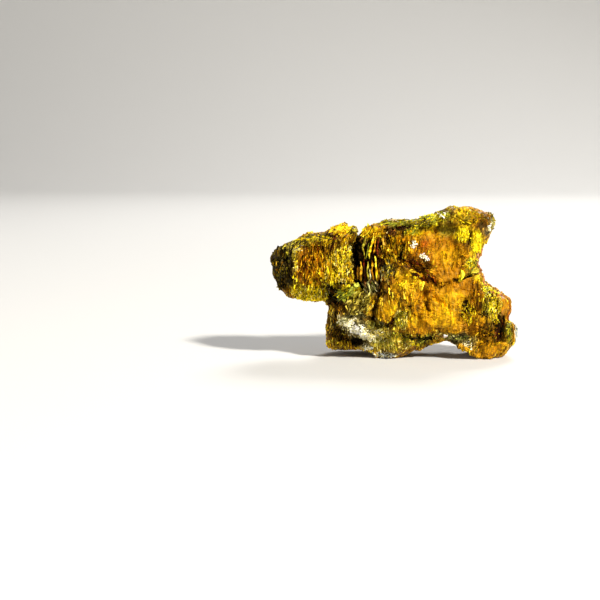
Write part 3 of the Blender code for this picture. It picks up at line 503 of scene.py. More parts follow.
# patches of ground on the front: the kind, the place X and Z, how far it reaches both ways, its strength
frontGround = {
    # painted shade: the end face turns away from the light and is painted dark khaki
    "end face": ("khaki", -43.9, 35.4, 4.6, 9, 5),
    "end face, upper edge": ("olive", -43.2, 44.2, 3.6, 1.8, 3),
    # painted highlight on the edge where the lit front turns to the shaded end face
    "end face's bright edge": ("lemon", -37.8, 36, 0.9, 8, 1.4),
    "lobe's low corner": ("amber", -41, 26.2, 2.6, 2.2, 2.4),
    "lobe's top": ("olive", -33, 46.4, 5.8, 2.8, 3.4),
    "lobe's top, right": ("olive", -26.5, 47.2, 3.6, 1.8, 2),
    "rust in the lobe": ("rust", -30.6, 41.4, 5.4, 3.6, 0.7),
    "ochre in the lobe": ("amber", -29.6, 38.4, 5.4, 6.4, 3.4),
    "red in the lobe": ("redOrange", -31.8, 37.4, 4.4, 5, 2.8),
    "rust, upper right": ("rust", -23.4, 45, 3.2, 3.2, 2.6),
    "amber in the lobe": ("orange", -33.4, 34.4, 4.8, 4, 3),
    "lobe by the cleft": ("lemon", -18.6, 40, 3.2, 6, 2.4),
    "lobe by the cleft, low": ("golden", -17.6, 33.6, 3.2, 4, 2.6),
    "lobe, middle": ("lemon", -24.4, 35.4, 3.2, 6, 3.2),
    "lobe, upper right": ("golden", -18.2, 45.6, 3, 3, 2),
    "crown": ("amber", -20.4, 51, 4.6, 2.2, 3.2),
    "rust under the crown": ("rust", -23, 47.4, 2.4, 1.5, 2.6),
    "lump by the notch": ("olive", -15.6, 51, 1.8, 1.6, 3),
    "lobe's foot": ("lemon", -33.6, 27.4, 6, 2.8, 4.8),
    "lobe's foot, right": ("golden", -26.6, 28, 2.6, 2.4, 2),
    # painted shade: the hollow under the lobe is painted near-black
    "hollow": ("dark", -23.6, 24.8, 1.8, 3, 4),
    "leaf chip": ("olive", -18.2, 27.4, 3.8, 1.8, 3),
    "leaf chip's tip": ("lemon", -15.4, 28.6, 1.2, 0.9, 3),
    # painted shade: the cleft is painted near-black
    "cleft": ("dark", -13.9, 40, 1.6, 6.4, 9),
    "rib pocket": ("maroon", -8.5, 39, 3.6, 7.6, 4),
    "foot of the ribs": ("greyGreen", -8.1, 28.8, 2.6, 2, 3),
    "brow": ("golden", -8.2, 50, 4.4, 2.6, 3.4),
    "crest band, left": ("green", 1.5, 53.4, 6, 1.5, 2.2),
    "crest band, middle": ("olive", 10, 54.4, 6.4, 1.8, 2.2),
    "crest shadow": ("dark", 4.2, 51.6, 2.6, 1.1, 9),
    "dark slot": ("maroon", 3.9, 44.6, 0.5, 2.4, 4),
    "start of the seam": ("maroon", 4.4, 40.4, 1.6, 0.5, 2.4),
    "amber over the seam": ("orange", 7, 41, 2.6, 1.6, 2.4),
    "dark red facet": ("maroon", -1.6, 49, 2, 2.4, 9),
    "crest, right": ("olive", 18, 57.2, 5, 2.4, 3),
    "crest, yellow patch": ("lemon", 14, 53.6, 2.8, 1.2, 2.6),
    "yellow under the crest": ("lemon", 7.6, 50.4, 2.4, 1.4, 3.4),
    "gold under the crest": ("amber", 14.4, 50, 3.6, 1.8, 2.6),
    "olive hollow": ("olive", 20.4, 51.2, 3.8, 2.2, 4.4),
    "horn, yellow": ("lemon", 26.4, 56.4, 3.8, 3, 1.6),
    "horn, gold": ("golden", 26, 55.4, 4.4, 3, 1.6),
    "horn, olive": ("olive", 29, 54.8, 4.8, 2.8, 3),
    "horn, brown": ("ochre", 33.6, 54.6, 3.8, 3.4, 3),
    "horn, rust flecks": ("rust", 35.4, 53.4, 3.2, 3.4, 3.4),
    "horn's tip": ("greyGreen", 38.4, 54.6, 1.4, 3, 3),
    "lumps under the tip": ("cream", 37.2, 51, 1.4, 1.4, 2.2),
    "lemon patch, left": ("lemon", 27.2, 49.2, 2.6, 2.8, 4.4),
    "lemon patch, right": ("lemon", 32.4, 46.2, 2.5, 4.4, 4.6),
    "streak between": ("rust", 29.8, 48.2, 0.7, 2.6, 5),
    "olive fibres": ("olive", -3.6, 43.6, 1.8, 4.4, 1.6),
    "brown fibres": ("amber", 1.4, 41.8, 2.6, 3.6, 2.4),
    "golden fibres, right": ("golden", 5, 45.4, 2.8, 4.4, 2.8),
    "yellow fibres": ("golden", -0.6, 45, 2.2, 4.4, 3.2),
    "grey-green flat": ("greyGreen", -2, 36.2, 2.6, 3.4, 2.8),
    "orange eye": ("orange", -0.6, 33, 1.5, 1.6, 2.4),
    "orange middle": ("orange", 16, 44.6, 6, 4.2, 2),
    "ochre middle": ("ochre", 20, 42, 9, 6.6, 3),
    "red middle": ("redOrange", 11.6, 44.8, 2.6, 1.6, 2.6),
    "red under the grains": ("rust", 12.2, 38.2, 2.4, 0.9, 2),
    "realgar seam, upper": ("maroon", 8.6, 36.4, 2.4, 0.8, 2.2),
    "gold between the seams": ("golden", 12.4, 34.4, 2.2, 1.2, 3),
    "realgar seam, lower": ("maroon", 13.8, 31.8, 2.6, 1, 2.6),
    "orange by the seam": ("orange", 9.6, 37, 3.6, 1.8, 2.6),
    "orange by the seam, low": ("redOrange", 13.6, 32.6, 3, 1.6, 2.4),
    "ridge left of the seam": ("golden", 6, 31, 5, 4, 3),
    "yellow on the ridge": ("golden", 4.2, 36, 2.6, 2.6, 3),
    "low middle": ("ochre", 24.4, 37.4, 5.6, 5.6, 2.6),
    "amber, right of the seam": ("amber", 17.6, 35.2, 3, 3.8, 3.4),
    "gold, right of the middle": ("golden", 22, 41.2, 4.4, 3, 8),
    "wide middle": ("amber", 14, 24, 8, 5.6, 2.4),
    "wide middle, right": ("golden", 22.6, 20, 7, 5.6, 2.8),
    "above the wide middle": ("ochre", 27, 29, 5, 2.8, 3),
    "golden lobe": ("golden", -1, 20, 4.2, 4.6, 6),
    "patch under the lobe": ("greyGreen", 0.8, 13.6, 2.6, 1.4, 1.2),
    "lemon in the patch": ("lemon", 3.2, 16.8, 2.4, 3.2, 5),
    "crack's red rim": ("maroon", -2.6, 14.4, 1.8, 0.6, 2),
    "rust spot": ("rust", 4.4, 12.4, 1.8, 1.2, 2.6),
    "in the bay": ("green", 30.6, 38.2, 2.6, 2, 2.6),
    "shelf": ("olive", 29.6, 33.8, 3, 1.2, 2.4),
    "bay's upper rim": ("terracotta", 34.2, 38.6, 0.8, 4, 7),
    "bay's rim": ("terracotta", 37, 30.6, 1, 2.6, 8),
    "bay's lower rim": ("terracotta", 41.6, 26, 3, 0.9, 8),
    "orange cheek": ("amber", 43.4, 21.6, 1.9, 4.2, 5),
    "rust on the cheek": ("rust", 44.8, 19, 1.2, 3, 3),
    "granular yellow": ("green", 38, 23.6, 2.8, 5, 2.8),
    "granular lemon": ("lemon", 37.2, 25, 2.8, 3.8, 2.8),
    "lemon under the bay": ("lemon", 33.4, 30.8, 2.6, 1.5, 4),
    "green under the bay": ("green", 36.8, 27.6, 1.6, 2.6, 2.4),
    "brown columns": ("ochre", 32, 25.2, 2.6, 4.2, 4),
    "brown columns, low": ("rust", 33, 21, 1.8, 1.8, 2.2),
    "pit": ("khaki", 28.6, 22.2, 1.6, 1.8, 3),
    "lemon by the pit": ("lemon", 30.4, 18.2, 1.8, 1.4, 2.6),
    "rust, low right": ("ochre", 32.4, 13.8, 6, 3, 3.4),
    "olive, low right": ("olive", 36.6, 14.4, 3, 2.8, 1.8),
    "dark red seam": ("dark", 42.6, 12.6, 0.9, 4.2, 4.4),
    "dark red seam, left": ("maroon", 41.2, 9.6, 1, 2.4, 2.8),
    "yellow strip": ("green", 45.8, 10.4, 0.9, 4.2, 3),
    "red edge of the cheek": ("redOrange", 45.2, 18.6, 0.8, 3.4, 3.6),
    "icy edge": ("iceBlue", 49.2, 8.6, 0.6, 3.8, 3.6),
    "right foot": ("amber", 38, 4.8, 4.8, 2.8, 3),
    "band over the arch": ("greyGreen", 25.6, 9, 5.4, 1.8, 3.6),
    "band over the arch, dark": ("khaki", 26, 8.2, 4.6, 1.2, 1.8),
    "flecks by the foot": ("cream", 29.2, 6, 1.4, 0.9, 2.4),
    "low middle, olive": ("olive", 0, 10.6, 6.6, 2.2, 1.4),
    "low middle, pale": ("straw", -1, 6.8, 6.4, 3.2, 2.6),
    "low middle, left of the crack": ("green", -6.6, 13.8, 4, 1.8, 2),
    "low middle, tan": ("ochre", 4, 6, 7, 3, 1.8),
    "beyond the chalk": ("straw", -5.4, 11, 4.2, 3, 3.6),
    "gold over the low crack": ("amber", 12, 13.6, 5.4, 2.8, 3.4),
    "gold, low left": ("golden", 10, 17.4, 3.6, 3.6, 2.8),
    "low middle, lemon": ("lemon", 0, 9.6, 4, 1.4, 2),
    "low middle, green": ("green", 10.6, 7.6, 3.6, 2, 2.2),
    "olive block": ("olive", -14.4, 23.2, 3.8, 3.2, 2.8),
    "olive block, khaki": ("khaki", -16.4, 21.6, 2.6, 2.6, 2),
    "block's straw spot": ("straw", -12.6, 22.6, 2.2, 2.2, 2.8),
    "block's pale top": ("green", -11, 24.4, 2, 2.2, 2.2),
    "undercut": ("greyGreen", -14.6, 17.6, 4.2, 1.5, 3),
    "chalk, left": ("cream", -18.8, 15.4, 2.8, 1.6, 5),
    "chalk, middle": ("cream", -14.6, 12.4, 3.6, 2.2, 6),
    "chalk, right": ("cream", -10, 9.4, 3.4, 1.9, 5),
    "chalk's end": ("green", -4, 7.6, 3.6, 2, 3),
    # painted shade: the hollows under the chalk are painted near-black
    "dark hollows": ("dark", -15, 7, 2.8, 1.3, 4),
    "left base": ("khaki", -23.4, 13, 2, 4.4, 3),
    "left base, top": ("rust", -22, 18.8, 2, 2, 3),
    "left base, olive": ("olive", -20.6, 10.4, 2.2, 2.4, 2.4),
    "left base, rust": ("rust", -22.6, 8.2, 2.2, 2, 2.4),
    "left base, yellow foot": ("lemon", -21.6, 4.6, 2.6, 1, 1.8),
    "crumbs": ("iceBlue", -2.2, 2, 3.4, 1, 2.4),
    "crumbs, left": ("cream", -10.6, 5.4, 2, 1, 2.4),
}
# and on the back, which turns over the top and the ends
backGround = {
    "lobe's end": ("khaki", -45, 36, 3, 7, 2.4),
    "lobe": ("golden", -33, 38, 7, 6, 2.2),
    "lobe, rust": ("rust", -27, 44, 5, 3.4, 2),
    "lobe, lemon": ("lemon", -37, 29, 5, 3.6, 1.8),
    "waist": ("maroon", -19, 36, 2.6, 9, 2.6),
    "shoulder": ("olive", -8, 48, 6, 4, 2.2),
    "left flank": ("amber", -10, 34, 6, 7, 2.2),
    "left base": ("olive", -18, 10, 6, 6, 2),
    "base, chalk": ("cream", -9, 8, 4, 2.6, 2.2),
    "base, lemon": ("lemon", -14, 20, 4, 4, 2),
    "middle": ("golden", 6, 34, 8, 8, 2.2),
    "red seam": ("maroon", 3.4, 30, 1.5, 7, 3),
    "middle, orange": ("orange", 14, 28, 6, 5, 2.4),
    "crest": ("green", 8, 51, 8, 3.6, 2.2),
    "crest, right": ("olive", 22, 54, 6, 3.6, 2.2),
    "horn": ("amber", 33, 54, 5, 4.4, 2.4),
    "bay": ("lemon", 28, 42, 5, 5, 2.2),
    "bay, rust": ("rust", 20, 38, 4, 2.4, 2.2),
    "low middle": ("amber", 10, 14, 8, 5, 2.2),
    "low, grey-green": ("greyGreen", 22, 10, 6, 3, 2.4),
    "right lobe": ("orange", 40, 20, 5, 6, 2.4),
    "right lobe, green": ("green", 33, 18, 4, 4, 2),
    "right foot": ("rust", 40, 6, 5, 3.6, 2),
}
groundMix = {
    "rest": "golden", "restStrength": 0.5, "wander": 1.5, "wanderSize": (3.5, 3.5, 5.0), "sharpness": 2.0,
    # the crossfade from front to back, along Y
    "turn": 3.5, "turnWander": 2.5, "turnSize": (4.0, 4.0, 4.0),
    # painted shade: hollows are painted dark red, and the mass darker, the deeper they are
    "shadeDepth": 7.0, "shadeRedDepth": 3.2, "shadeRedMost": 1.5,
    # the fibres' lean wanders, and the listed leans hold as far back as this
    "leanWander": 14.0, "leanSize": (9.0, 9.0, 12.0), "leanTo": 2.0,
}
# the fibres' lean, in degrees clockwise from upright, at places (X, Z, reach X, reach Z, lean)
grainLean = {
    "lobe's top": (-33, 47, 7, 2, 55), "crown": (-21, 51, 4, 2, 60),
    "lobe": (-30, 36, 8, 8, 6), "lobe's foot": (-33, 26, 8, 2.4, 10),
    "leaf chip": (-18, 27, 4, 2.4, 64), "olive block": (-13, 22.5, 4, 4, 38),
    "undercut": (-14, 17.2, 5, 1.8, 110), "chalk": (-14.5, 12.6, 6, 3.4, 118),
    "crest": (6, 53.8, 12, 1.8, 68), "crest, right": (19, 57, 6, 2, 55),
    "horn": (33, 56, 6, 3, 108), "lemon patch": (30, 47, 5, 5, 14),
    "olive flat": (1, 43, 5, 5, -6), "grey-green flat": (-2, 36, 3, 3.6, 24),
    "bay": (30, 34.5, 4.6, 2.4, 64), "seam": (11, 34.5, 5, 4, 130),
    "right lobe": (37, 20, 5, 7, 8), "low middle": (4, 8, 8, 2.4, 100),
    "over the arch": (24, 9, 7, 2.4, 84), "right foot": (38, 5, 6, 3, 72),
}


# colour of the ground
def groundWeights(points, hollow):
    # share of each kind at each point: Gaussian patches on both faces, crossfaded over the rim
    mix = groundMix
    x = points[:, 0] + mix["wander"] * valueNoise(points, mix["wanderSize"], seed=31)
    z = points[:, 2] + mix["wander"] * valueNoise(points, mix["wanderSize"], seed=32)
    turn = points[:, 1] + mix["turnWander"] * valueNoise(points, mix["turnSize"], seed=33)
    frontShare = np.clip(0.5 - turn / (2 * mix["turn"]), 0, 1)
    weights = np.zeros((len(points), len(kindNames)))
    weights[:, kindNames.index(mix["rest"])] = mix["restStrength"]
    for patches, share in ((frontGround, frontShare), (backGround, 1 - frontShare)):
        for kind, *patch, strength in patches.values():
            weights[:, kindNames.index(kind)] += strength * share * np.exp(-inReaches(x, z, *patch))
    # painted shade: the deeper the hollow, the more dark red is mixed in
    weights[:, kindNames.index("maroon")] += np.clip(hollow / mix["shadeRedDepth"], 0, mix["shadeRedMost"])
    weights = weights ** mix["sharpness"]
    return weights / weights.sum(1, keepdims=True)


def grainAngle(points):
    # the fibres' lean in radians: the listed leans on the front, a slow wander everywhere
    x, y, z = points.T
    angle = groundMix["leanWander"] * valueNoise(points, groundMix["leanSize"], seed=51)
    for *patch, lean in grainLean.values():
        angle += lean * np.exp(-(inReaches(x, z, *patch) ** 2)) * (y < groundMix["leanTo"])
    return np.radians(angle)


def toneColours(weights, tone):
    # the kinds' tones read at tone, 0 to 1, and mixed by their shares
    spot = np.clip(tone, 0, 1) * lastTone
    step = np.minimum(spot.astype(int), lastTone - 1)
    part = (spot - step)[:, None]
    mixed = np.zeros((len(tone), 3))
    for share, tones in zip(weights.T, kindTones):
        mixed += share[:, None] * (tones[step] * (1 - part) + tones[step + 1] * part)
    return mixed


def readTone(kindName, tone):
    # one kind's colours at an array of tones
    shares = np.zeros((np.size(tone), len(kindNames)))
    shares[:, kindNames.index(kindName)] = 1
    return toneColours(shares, np.ravel(tone))


def drawnKinds(rng, kindsHere, count):
    # one of the kinds named in a string for each of count pieces, as shares
    listed = np.array([kindNames.index(kind) for kind in kindsHere.split()])
    return np.eye(len(kindNames))[listed[rng.integers(len(listed), size=count)]]


# making meshes
def wallQuads(first, count):
    # quads from each ring of count corners to the ring after it; first holds the rings' first points
    here = np.arange(count)
    ahead = (here + 1) % count
    return np.stack([first + here, first + ahead, first + count + ahead, first + count + here], axis=-1)


def mapSquares(count):
    # one square of the map for each of count bodies, and how many squares are on a side
    side = math.ceil(math.sqrt(count))
    return np.stack([np.arange(count) % side, np.arange(count) // side], axis=-1), side


def makeMesh(name, points, quads, tris, tint, gloss, grit, corners=None):
    # points in millimetres; quads and tris index them; corners are the faces' UVs, quads first.
    # tint is a colour, gloss and grit are numbers from 0 to 1, one of each to a point
    quads = np.array(quads, np.int32).reshape(-1, 4)
    tris = np.array(tris, np.int32).reshape(-1, 3)
    loops = np.concatenate([quads.ravel(), tris.ravel()])
    sizes = np.concatenate([np.full(len(quads), 4), np.full(len(tris), 3)]).astype(np.int32)
    mesh = bpy.data.meshes.new(name)
    mesh.vertices.add(len(points))
    mesh.vertices.foreach_set("co", (np.asarray(points) * mm).astype(np.float32).ravel())
    mesh.loops.add(len(loops))
    mesh.loops.foreach_set("vertex_index", loops)
    mesh.polygons.add(len(sizes))
    mesh.polygons.foreach_set("loop_start", np.concatenate([[0], np.cumsum(sizes)[:-1]]).astype(np.int32))
    mesh.polygons.foreach_set("loop_total", sizes)
    mesh.update(calc_edges=True)
    mesh.polygons.foreach_set("use_smooth", np.zeros(len(sizes), bool))
    layer = mesh.attributes.new("tint", "FLOAT_COLOR", "POINT")
    layer.data.foreach_set("color", np.column_stack([tint, np.ones(len(tint))]).astype(np.float32).ravel())
    for key, values in (("gloss", gloss), ("grit", grit)):
        layer = mesh.attributes.new(key, "FLOAT", "POINT")
        layer.data.foreach_set("value", np.asarray(values).astype(np.float32))
    if corners is not None:
        mesh.uv_layers.new(name="OFBake").data.foreach_set("uv", corners.astype(np.float32).ravel())
    obj = bpy.data.objects.new(name, mesh)
    bpy.context.scene.collection.objects.link(obj)
    return obj


def place(obj, material, replaces=False):
    # what a finished piece is made of, what it rides on, and whether it stands in for the solid
    obj.data.materials.append(material)
    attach(obj, "root")
    if replaces:
        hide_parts(stoneNode)
    return obj


# materials
crystalLook = {
    # fibres of noise drawn out along Z and fine specks, per metre, and how they colour the ground
    "grain": (1500.0, 1500.0, 330.0), "grainDetail": 4.0, "speck": 4200.0, "speckDetail": 2.0,
    "speckShare": 0.45, "streakFrom": 0.60, "streakTo": 0.85, "darker": 0.22, "lighter": 1.82,
    # roughness from the dullest to the shiniest, by each piece's gloss and the specks
    "dullest": 0.72, "shiniest": 0.34, "glossShine": 0.7, "speckShine": 0.5,
    "bump": 0.55, "bumpDepth": 0.00016, "ior": 1.5, "specular": 0.32, "specularTint": (1.0, 0.82, 0.24, 1.0),
}


def crystalMaterial(name, look):
    # colour = tint * (1 + grit * (streak - 1)); roughness falls with the gloss and the specks
    material = bpy.data.materials.new(name)
    material.use_nodes = True
    nodes, links = material.node_tree.nodes, material.node_tree.links

    def setInputs(node, inputs):
        # what is a socket is linked, and what is a value is set
        for key, given in inputs.items():
            if isinstance(given, bpy.types.NodeSocket):
                links.new(given, node.inputs[key])
            else:
                node.inputs[key].default_value = given
        return node.outputs

    def made(kind, inputs):
        return setInputs(nodes.new("ShaderNode" + kind), inputs)

    def attribute(key, output):
        node = nodes.new("ShaderNodeAttribute")
        node.attribute_name = key
        return node.outputs[output]

    def multiplyAdd(value, factor, rest):
        # value * factor + rest
        node = nodes.new("ShaderNodeMath")
        node.operation = "MULTIPLY_ADD"
        return setInputs(node, {0: value, 1: factor, 2: rest})["Value"]

    def mapRange(value, fromLow, fromHigh, toLow, toHigh):
        ends = {"From Min": fromLow, "From Max": fromHigh, "To Min": toLow, "To Max": toHigh}
        return made("MapRange", {"Value": value, **ends})["Result"]

    spot = nodes.new("ShaderNodeTexCoord").outputs["Object"]
    drawnOut = made("Mapping", {"Vector": spot, "Scale": look["grain"]})["Vector"]
    fibres = made("TexNoise", {"Vector": drawnOut, "Scale": 1.0, "Detail": look["grainDetail"]})["Fac"]
    specks = made("TexNoise", {"Vector": spot, "Scale": look["speck"], "Detail": look["speckDetail"]})["Fac"]
    relief = multiplyAdd(specks, look["speckShare"], fibres)
    streak = mapRange(relief, look["streakFrom"], look["streakTo"], look["darker"] - 1, look["lighter"] - 1)
    toned = nodes.new("ShaderNodeVectorMath")
    toned.operation = "SCALE"
    scale = multiplyAdd(streak, attribute("grit", "Fac"), 1.0)
    colour = setInputs(toned, {0: attribute("tint", "Color"), "Scale": scale})["Vector"]
    speckShine = multiplyAdd(specks, look["speckShine"], 0.0)
    shine = multiplyAdd(attribute("gloss", "Fac"), look["glossShine"], speckShine)
    bump = made("Bump", {"Height": relief, "Strength": look["bump"], "Distance": look["bumpDepth"]})["Normal"]
    setInputs(nodes["Principled BSDF"], {
        "Base Color": colour, "Roughness": mapRange(shine, 0.0, 1.0, look["dullest"], look["shiniest"]),
        "Normal": bump, "IOR": look["ior"], "Specular IOR Level": look["specular"],
        "Specular Tint": look["specularTint"],
    })
    return material


orpimentMaterial = crystalMaterial("orpiment", crystalLook)
realgarMaterial = crystalMaterial("realgar", {**crystalLook, "dullest": 0.4, "shiniest": 0.12, "ior": 1.9})
calciteMaterial = crystalMaterial(
    "calcite", {**crystalLook, "darker": 0.75, "lighter": 1.15, "dullest": 0.85, "shiniest": 0.5}
)
print("stage: materials made")

# the stone's mass
# painted light and shade: the mass is dark, as painted shade in the gaps between the blades, lighter where
# the stone is smooth, and its raised fine relief is painted lighter and its low relief darker
massLook = {
    "tone": 0.12, "smoothTone": 0.36, "relief": 0.30, "calmTone": 0.4, "grit": 0.45,
    "streak": 0.18, "streakSize": (0.8, 0.8, 4.2), "blob": 0.10, "blobSize": (2.6, 2.6, 3.4),
    "cells": 0.18, "cellSize": (1.3, 1.3, 3.0),
    "gloss": 0.4, "glossWander": 0.4, "glossSize": (1.2, 1.2, 3.0),
}


def stoneMass():
    # the whole skin as one closed mesh: quads between the rings and a fan at each pole
    look = massLook
    rows = rings - 2

    def gathered(values):
        # the values of every ring but the poles, then one value for each pole
        return np.concatenate([values[1:-1].reshape(-1, *values.shape[2:]), values[0, :1], values[-1, :1]])

    points, hollow, fine = gathered(skin), gathered(skinHollow), gathered(skinFine)
    k, i = np.meshgrid(np.arange(rows - 1), np.arange(around), indexing="ij")
    here, aside = k * around + i, k * around + (i + 1) % around
    quads = np.stack([aside, aside + around, here + around, here], axis=-1).reshape(-1, 4)
    ring = np.arange(around)
    ahead = (ring + 1) % around
    frontPole, backPole = np.full((2, around), rows * around) + [[0], [1]]
    last = (rows - 1) * around
    fans = np.concatenate([
        np.stack([ahead, ring, frontPole], axis=-1), np.stack([last + ring, last + ahead, backPole], axis=-1)
    ])
    # the map's U runs round the rings and its V from pole to pole; both are counted in steps first
    quadSteps = np.stack([i, k + 1], axis=-1)[:, :, None] + np.array([[1, 0], [1, 1], [0, 1], [0, 0]])
    frontSteps = np.stack([ring, ring * 0], axis=-1)[:, None] + np.array([[1, 1], [0, 1], [0, 0]])
    backSteps = np.stack([ring, ring * 0 + rings], axis=-1)[:, None] + np.array([[0, -2], [1, -2], [0, -1]])
    steps = np.concatenate([part.reshape(-1, 2) for part in (quadSteps, frontSteps, backSteps)])
    fibrous = fibrousShare(points)
    # painted shade in the gaps between blades, less where smooth, with painted light and shade following the
    # fine relief
    tone = look["tone"] + look["smoothTone"] * (1 - fibrous) + look["relief"] * fine
    patchy = look["streak"] * valueNoise(points, look["streakSize"], seed=41)
    patchy += look["blob"] * valueNoise(points, look["blobSize"], seed=42)
    patchy += look["cells"] * cellValues(points, look["cellSize"], seed=44)[:, 0]
    tone += patchy * eased(look["calmTone"], fibrous)
    # painted shade: the deeper the hollow, the darker the mass is painted
    hollowShade = np.exp(-hollow / groundMix["shadeDepth"])
    tint = toneColours(groundWeights(points, hollow), tone) * hollowShade[:, None]
    gloss = look["gloss"] + look["glossWander"] * valueNoise(points, look["glossSize"], seed=43)
    grit = eased(look["grit"], fibrous)
    uv = steps / np.array([around, rings - 1])
    return makeMesh("stoneMass", points, quads, fans, tint, np.clip(gloss, 0, 1), grit, uv)


mass = place(stoneMass(), orpimentMaterial, replaces=True)
print("stage: the stone's mass,", len(mass.data.polygons), "faces")


# splinters: closed six-cornered bodies, four corners sunk in the skin and a ridge of two above them
splinterForm = {"sunk": 0.7, "ridge": 0.84}
roofQuads = [[1, 2, 5, 4], [3, 0, 4, 5], [0, 3, 2, 1]]
roofTris = [[0, 1, 4], [2, 3, 5]]
roofSize = 6
# where the six corners lie in a splinter's own square of the map, and how far the ridge's lean moves its two
roofMap = np.array([[0.05, 0.05], [0.95, 0.05], [0.95, 0.95], [0.05, 0.95], [0.5, 0.25], [0.5, 0.75]])
roofMapLean = 0.4


def frameOf(ways, angle):
    # along: the fibres' direction laid on the skin; across: square to it and to the way out
    shortest = 0.3
    grain = np.column_stack([np.sin(angle), np.zeros(len(angle)), np.cos(angle)])
    along = grain - ways * np.sum(grain * ways, axis=1, keepdims=True)
    length = np.linalg.norm(along, axis=1, keepdims=True)
    level = np.array([1.0, 0.0, 0.0]) - ways * ways[:, :1]
    along = unit(np.where(length > shortest, along, level))
    return along, np.cross(along, ways)


def roofs(spots, ways, along, across, width, length, rise, lean, slope):
    # ridge = spot + half the width * lean, -+ half the length * ridge, + way * rise * (1 -+ slope):
    # it comes out of the skin at one end and breaks off at the other
    half, run = across * width[:, None] / 2, along * length[:, None] / 2
    base = spots - ways * splinterForm["sunk"]
    ridge = spots + half * lean[:, None]
    low = ridge - run * splinterForm["ridge"] + ways * (rise * (1 - slope))[:, None]
    high = ridge + run * splinterForm["ridge"] + ways * (rise * (1 + slope))[:, None]
    left, right = base - half, base + half
    return np.stack([left - run, right - run, right + run, left + run, low, high], axis=1)


def roofMesh(name, corners, lean, footTint, ridgeTint, gloss, grit):
    # corners holds six points to a splinter, which has two walls, an underside and two ends
    count = len(corners)
    first = roofSize * np.arange(count)[:, None]
    quads = np.concatenate([(first + np.array(quad))[:, None] for quad in roofQuads], axis=1).reshape(-1, 4)
    tris = np.concatenate([(first + np.array(tri))[:, None] for tri in roofTris], axis=1).reshape(-1, 3)
    # each splinter has its own square of the map; its underside is drawn together in a corner of it
    squares, side = mapSquares(count)
    spots = squares[:, None] + roofMap
    spots[:, 4:, 0] += roofMapLean * lean[:, None]
    walls = [spots[:, face] for face in roofQuads]
    walls[2] = np.repeat(walls[2][:, :1], 4, axis=1)
    ends = [spots[:, face] for face in roofTris]
    uv = np.concatenate([np.stack(faces, axis=1).reshape(-1, 2) for faces in (walls, ends)]) / side
    tint = np.concatenate([np.repeat(footTint[:, None], 4, 1), np.repeat(ridgeTint[:, None], 2, 1)], axis=1)
    points, tint = insideBox(corners.reshape(-1, 3)), tint.reshape(-1, 3)
    gloss, grit = np.repeat(gloss, roofSize), np.repeat(grit, roofSize)
    return makeMesh(name, points, quads, tris, tint, gloss, grit, uv)


# the fine blades of orpiment that the stone is grown from, and the stubs where it is smooth
bladeLook = {
    "cover": 1.2, "frontTo": 1.0, "lowest": 0.4,
    "width": (0.45, 1.35), "length": (1.2, 4.2), "rise": (0.08, 0.56),
    "stubWidth": (0.3, 0.95), "stubLength": (0.4, 1.3), "stubRise": (0.02, 0.13),
    # powers above 1 make most blades slim and flat; blades on the rim are lower and shorter
    "slimness": 1.4, "flatness": 1.6, "rimRise": 0.35, "rimLength": 0.5, "bundleRise": (0.8, 0.5),
    "bundleLean": 13.0, "scatter": 5.0, "stubScatter": 50.0,
    # the ridge's lean, how many slope down or up, and by how much
    "lean": 0.75, "slopeShares": (0.35, 0.65), "slope": (0.4, 1.15),
    "tone": 0.52, "toneWander": 0.20, "toneSize": (1.5, 1.5, 5.0), "bundleTone": 0.26, "toneScatter": 0.32,
    # painted light and shade: each blade's ridge is painted lighter and its foot darker, a share of the
    # blades lighter as painted glints and a share darker as painted shade
    "calmTone": 0.42, "ridge": 0.28, "foot": -0.62,
    "glintShare": 0.16, "glintLift": 0.38, "shadeShare": 0.24, "darker": 0.42,
    "gloss": (0.25, 1.0), "grit": 0.4,
}
bladeFields = {
    # the X range and whether the field is on the front: each field is one joined mesh
    "bladesLobe": (-60.0, -13.0, True), "bladesMiddle": (-13.0, 9.0, True),
    "bladesWide": (9.0, 25.0, True), "bladesRight": (25.0, 60.0, True),
    "bladesBackLeft": (-60.0, 0.0, False), "bladesBackRight": (0.0, 60.0, False),
}


def skinSpots(rng, left, right, front):
    # random places on one part of the skin, as many to each quad as its area asks for, with their ways out
    look = bladeLook
    quads = np.stack([skin[:-1], np.roll(skin[:-1], -1, 1), skin[1:], np.roll(skin[1:], -1, 1)], axis=2)
    corners = quads.reshape(-1, 4, 3)
    diagonals = corners[:, 3] - corners[:, 0], corners[:, 2] - corners[:, 1]
    area = 0.5 * np.linalg.norm(np.cross(*diagonals), axis=1)
    x, y, z = corners.mean(1).T
    share = area * ((x >= left) & (x < right) & ((y < look["frontTo"]) == front)) * (z > look["lowest"])
    count = int(look["cover"] * share.sum() / (np.mean(look["width"]) * np.mean(look["length"])))
    chosen = rng.choice(len(share), count, p=share / share.sum())
    u, v = rng.random((count, 1)), rng.random((count, 1))
    picked = corners[chosen]
    upper = picked[:, 0] * (1 - u) + picked[:, 1] * u
    lower = picked[:, 2] * (1 - u) + picked[:, 3] * u
    return upper * (1 - v) + lower * v, skinWays[:-1].reshape(-1, 3)[chosen], skinHollow[:-1].ravel()[chosen]


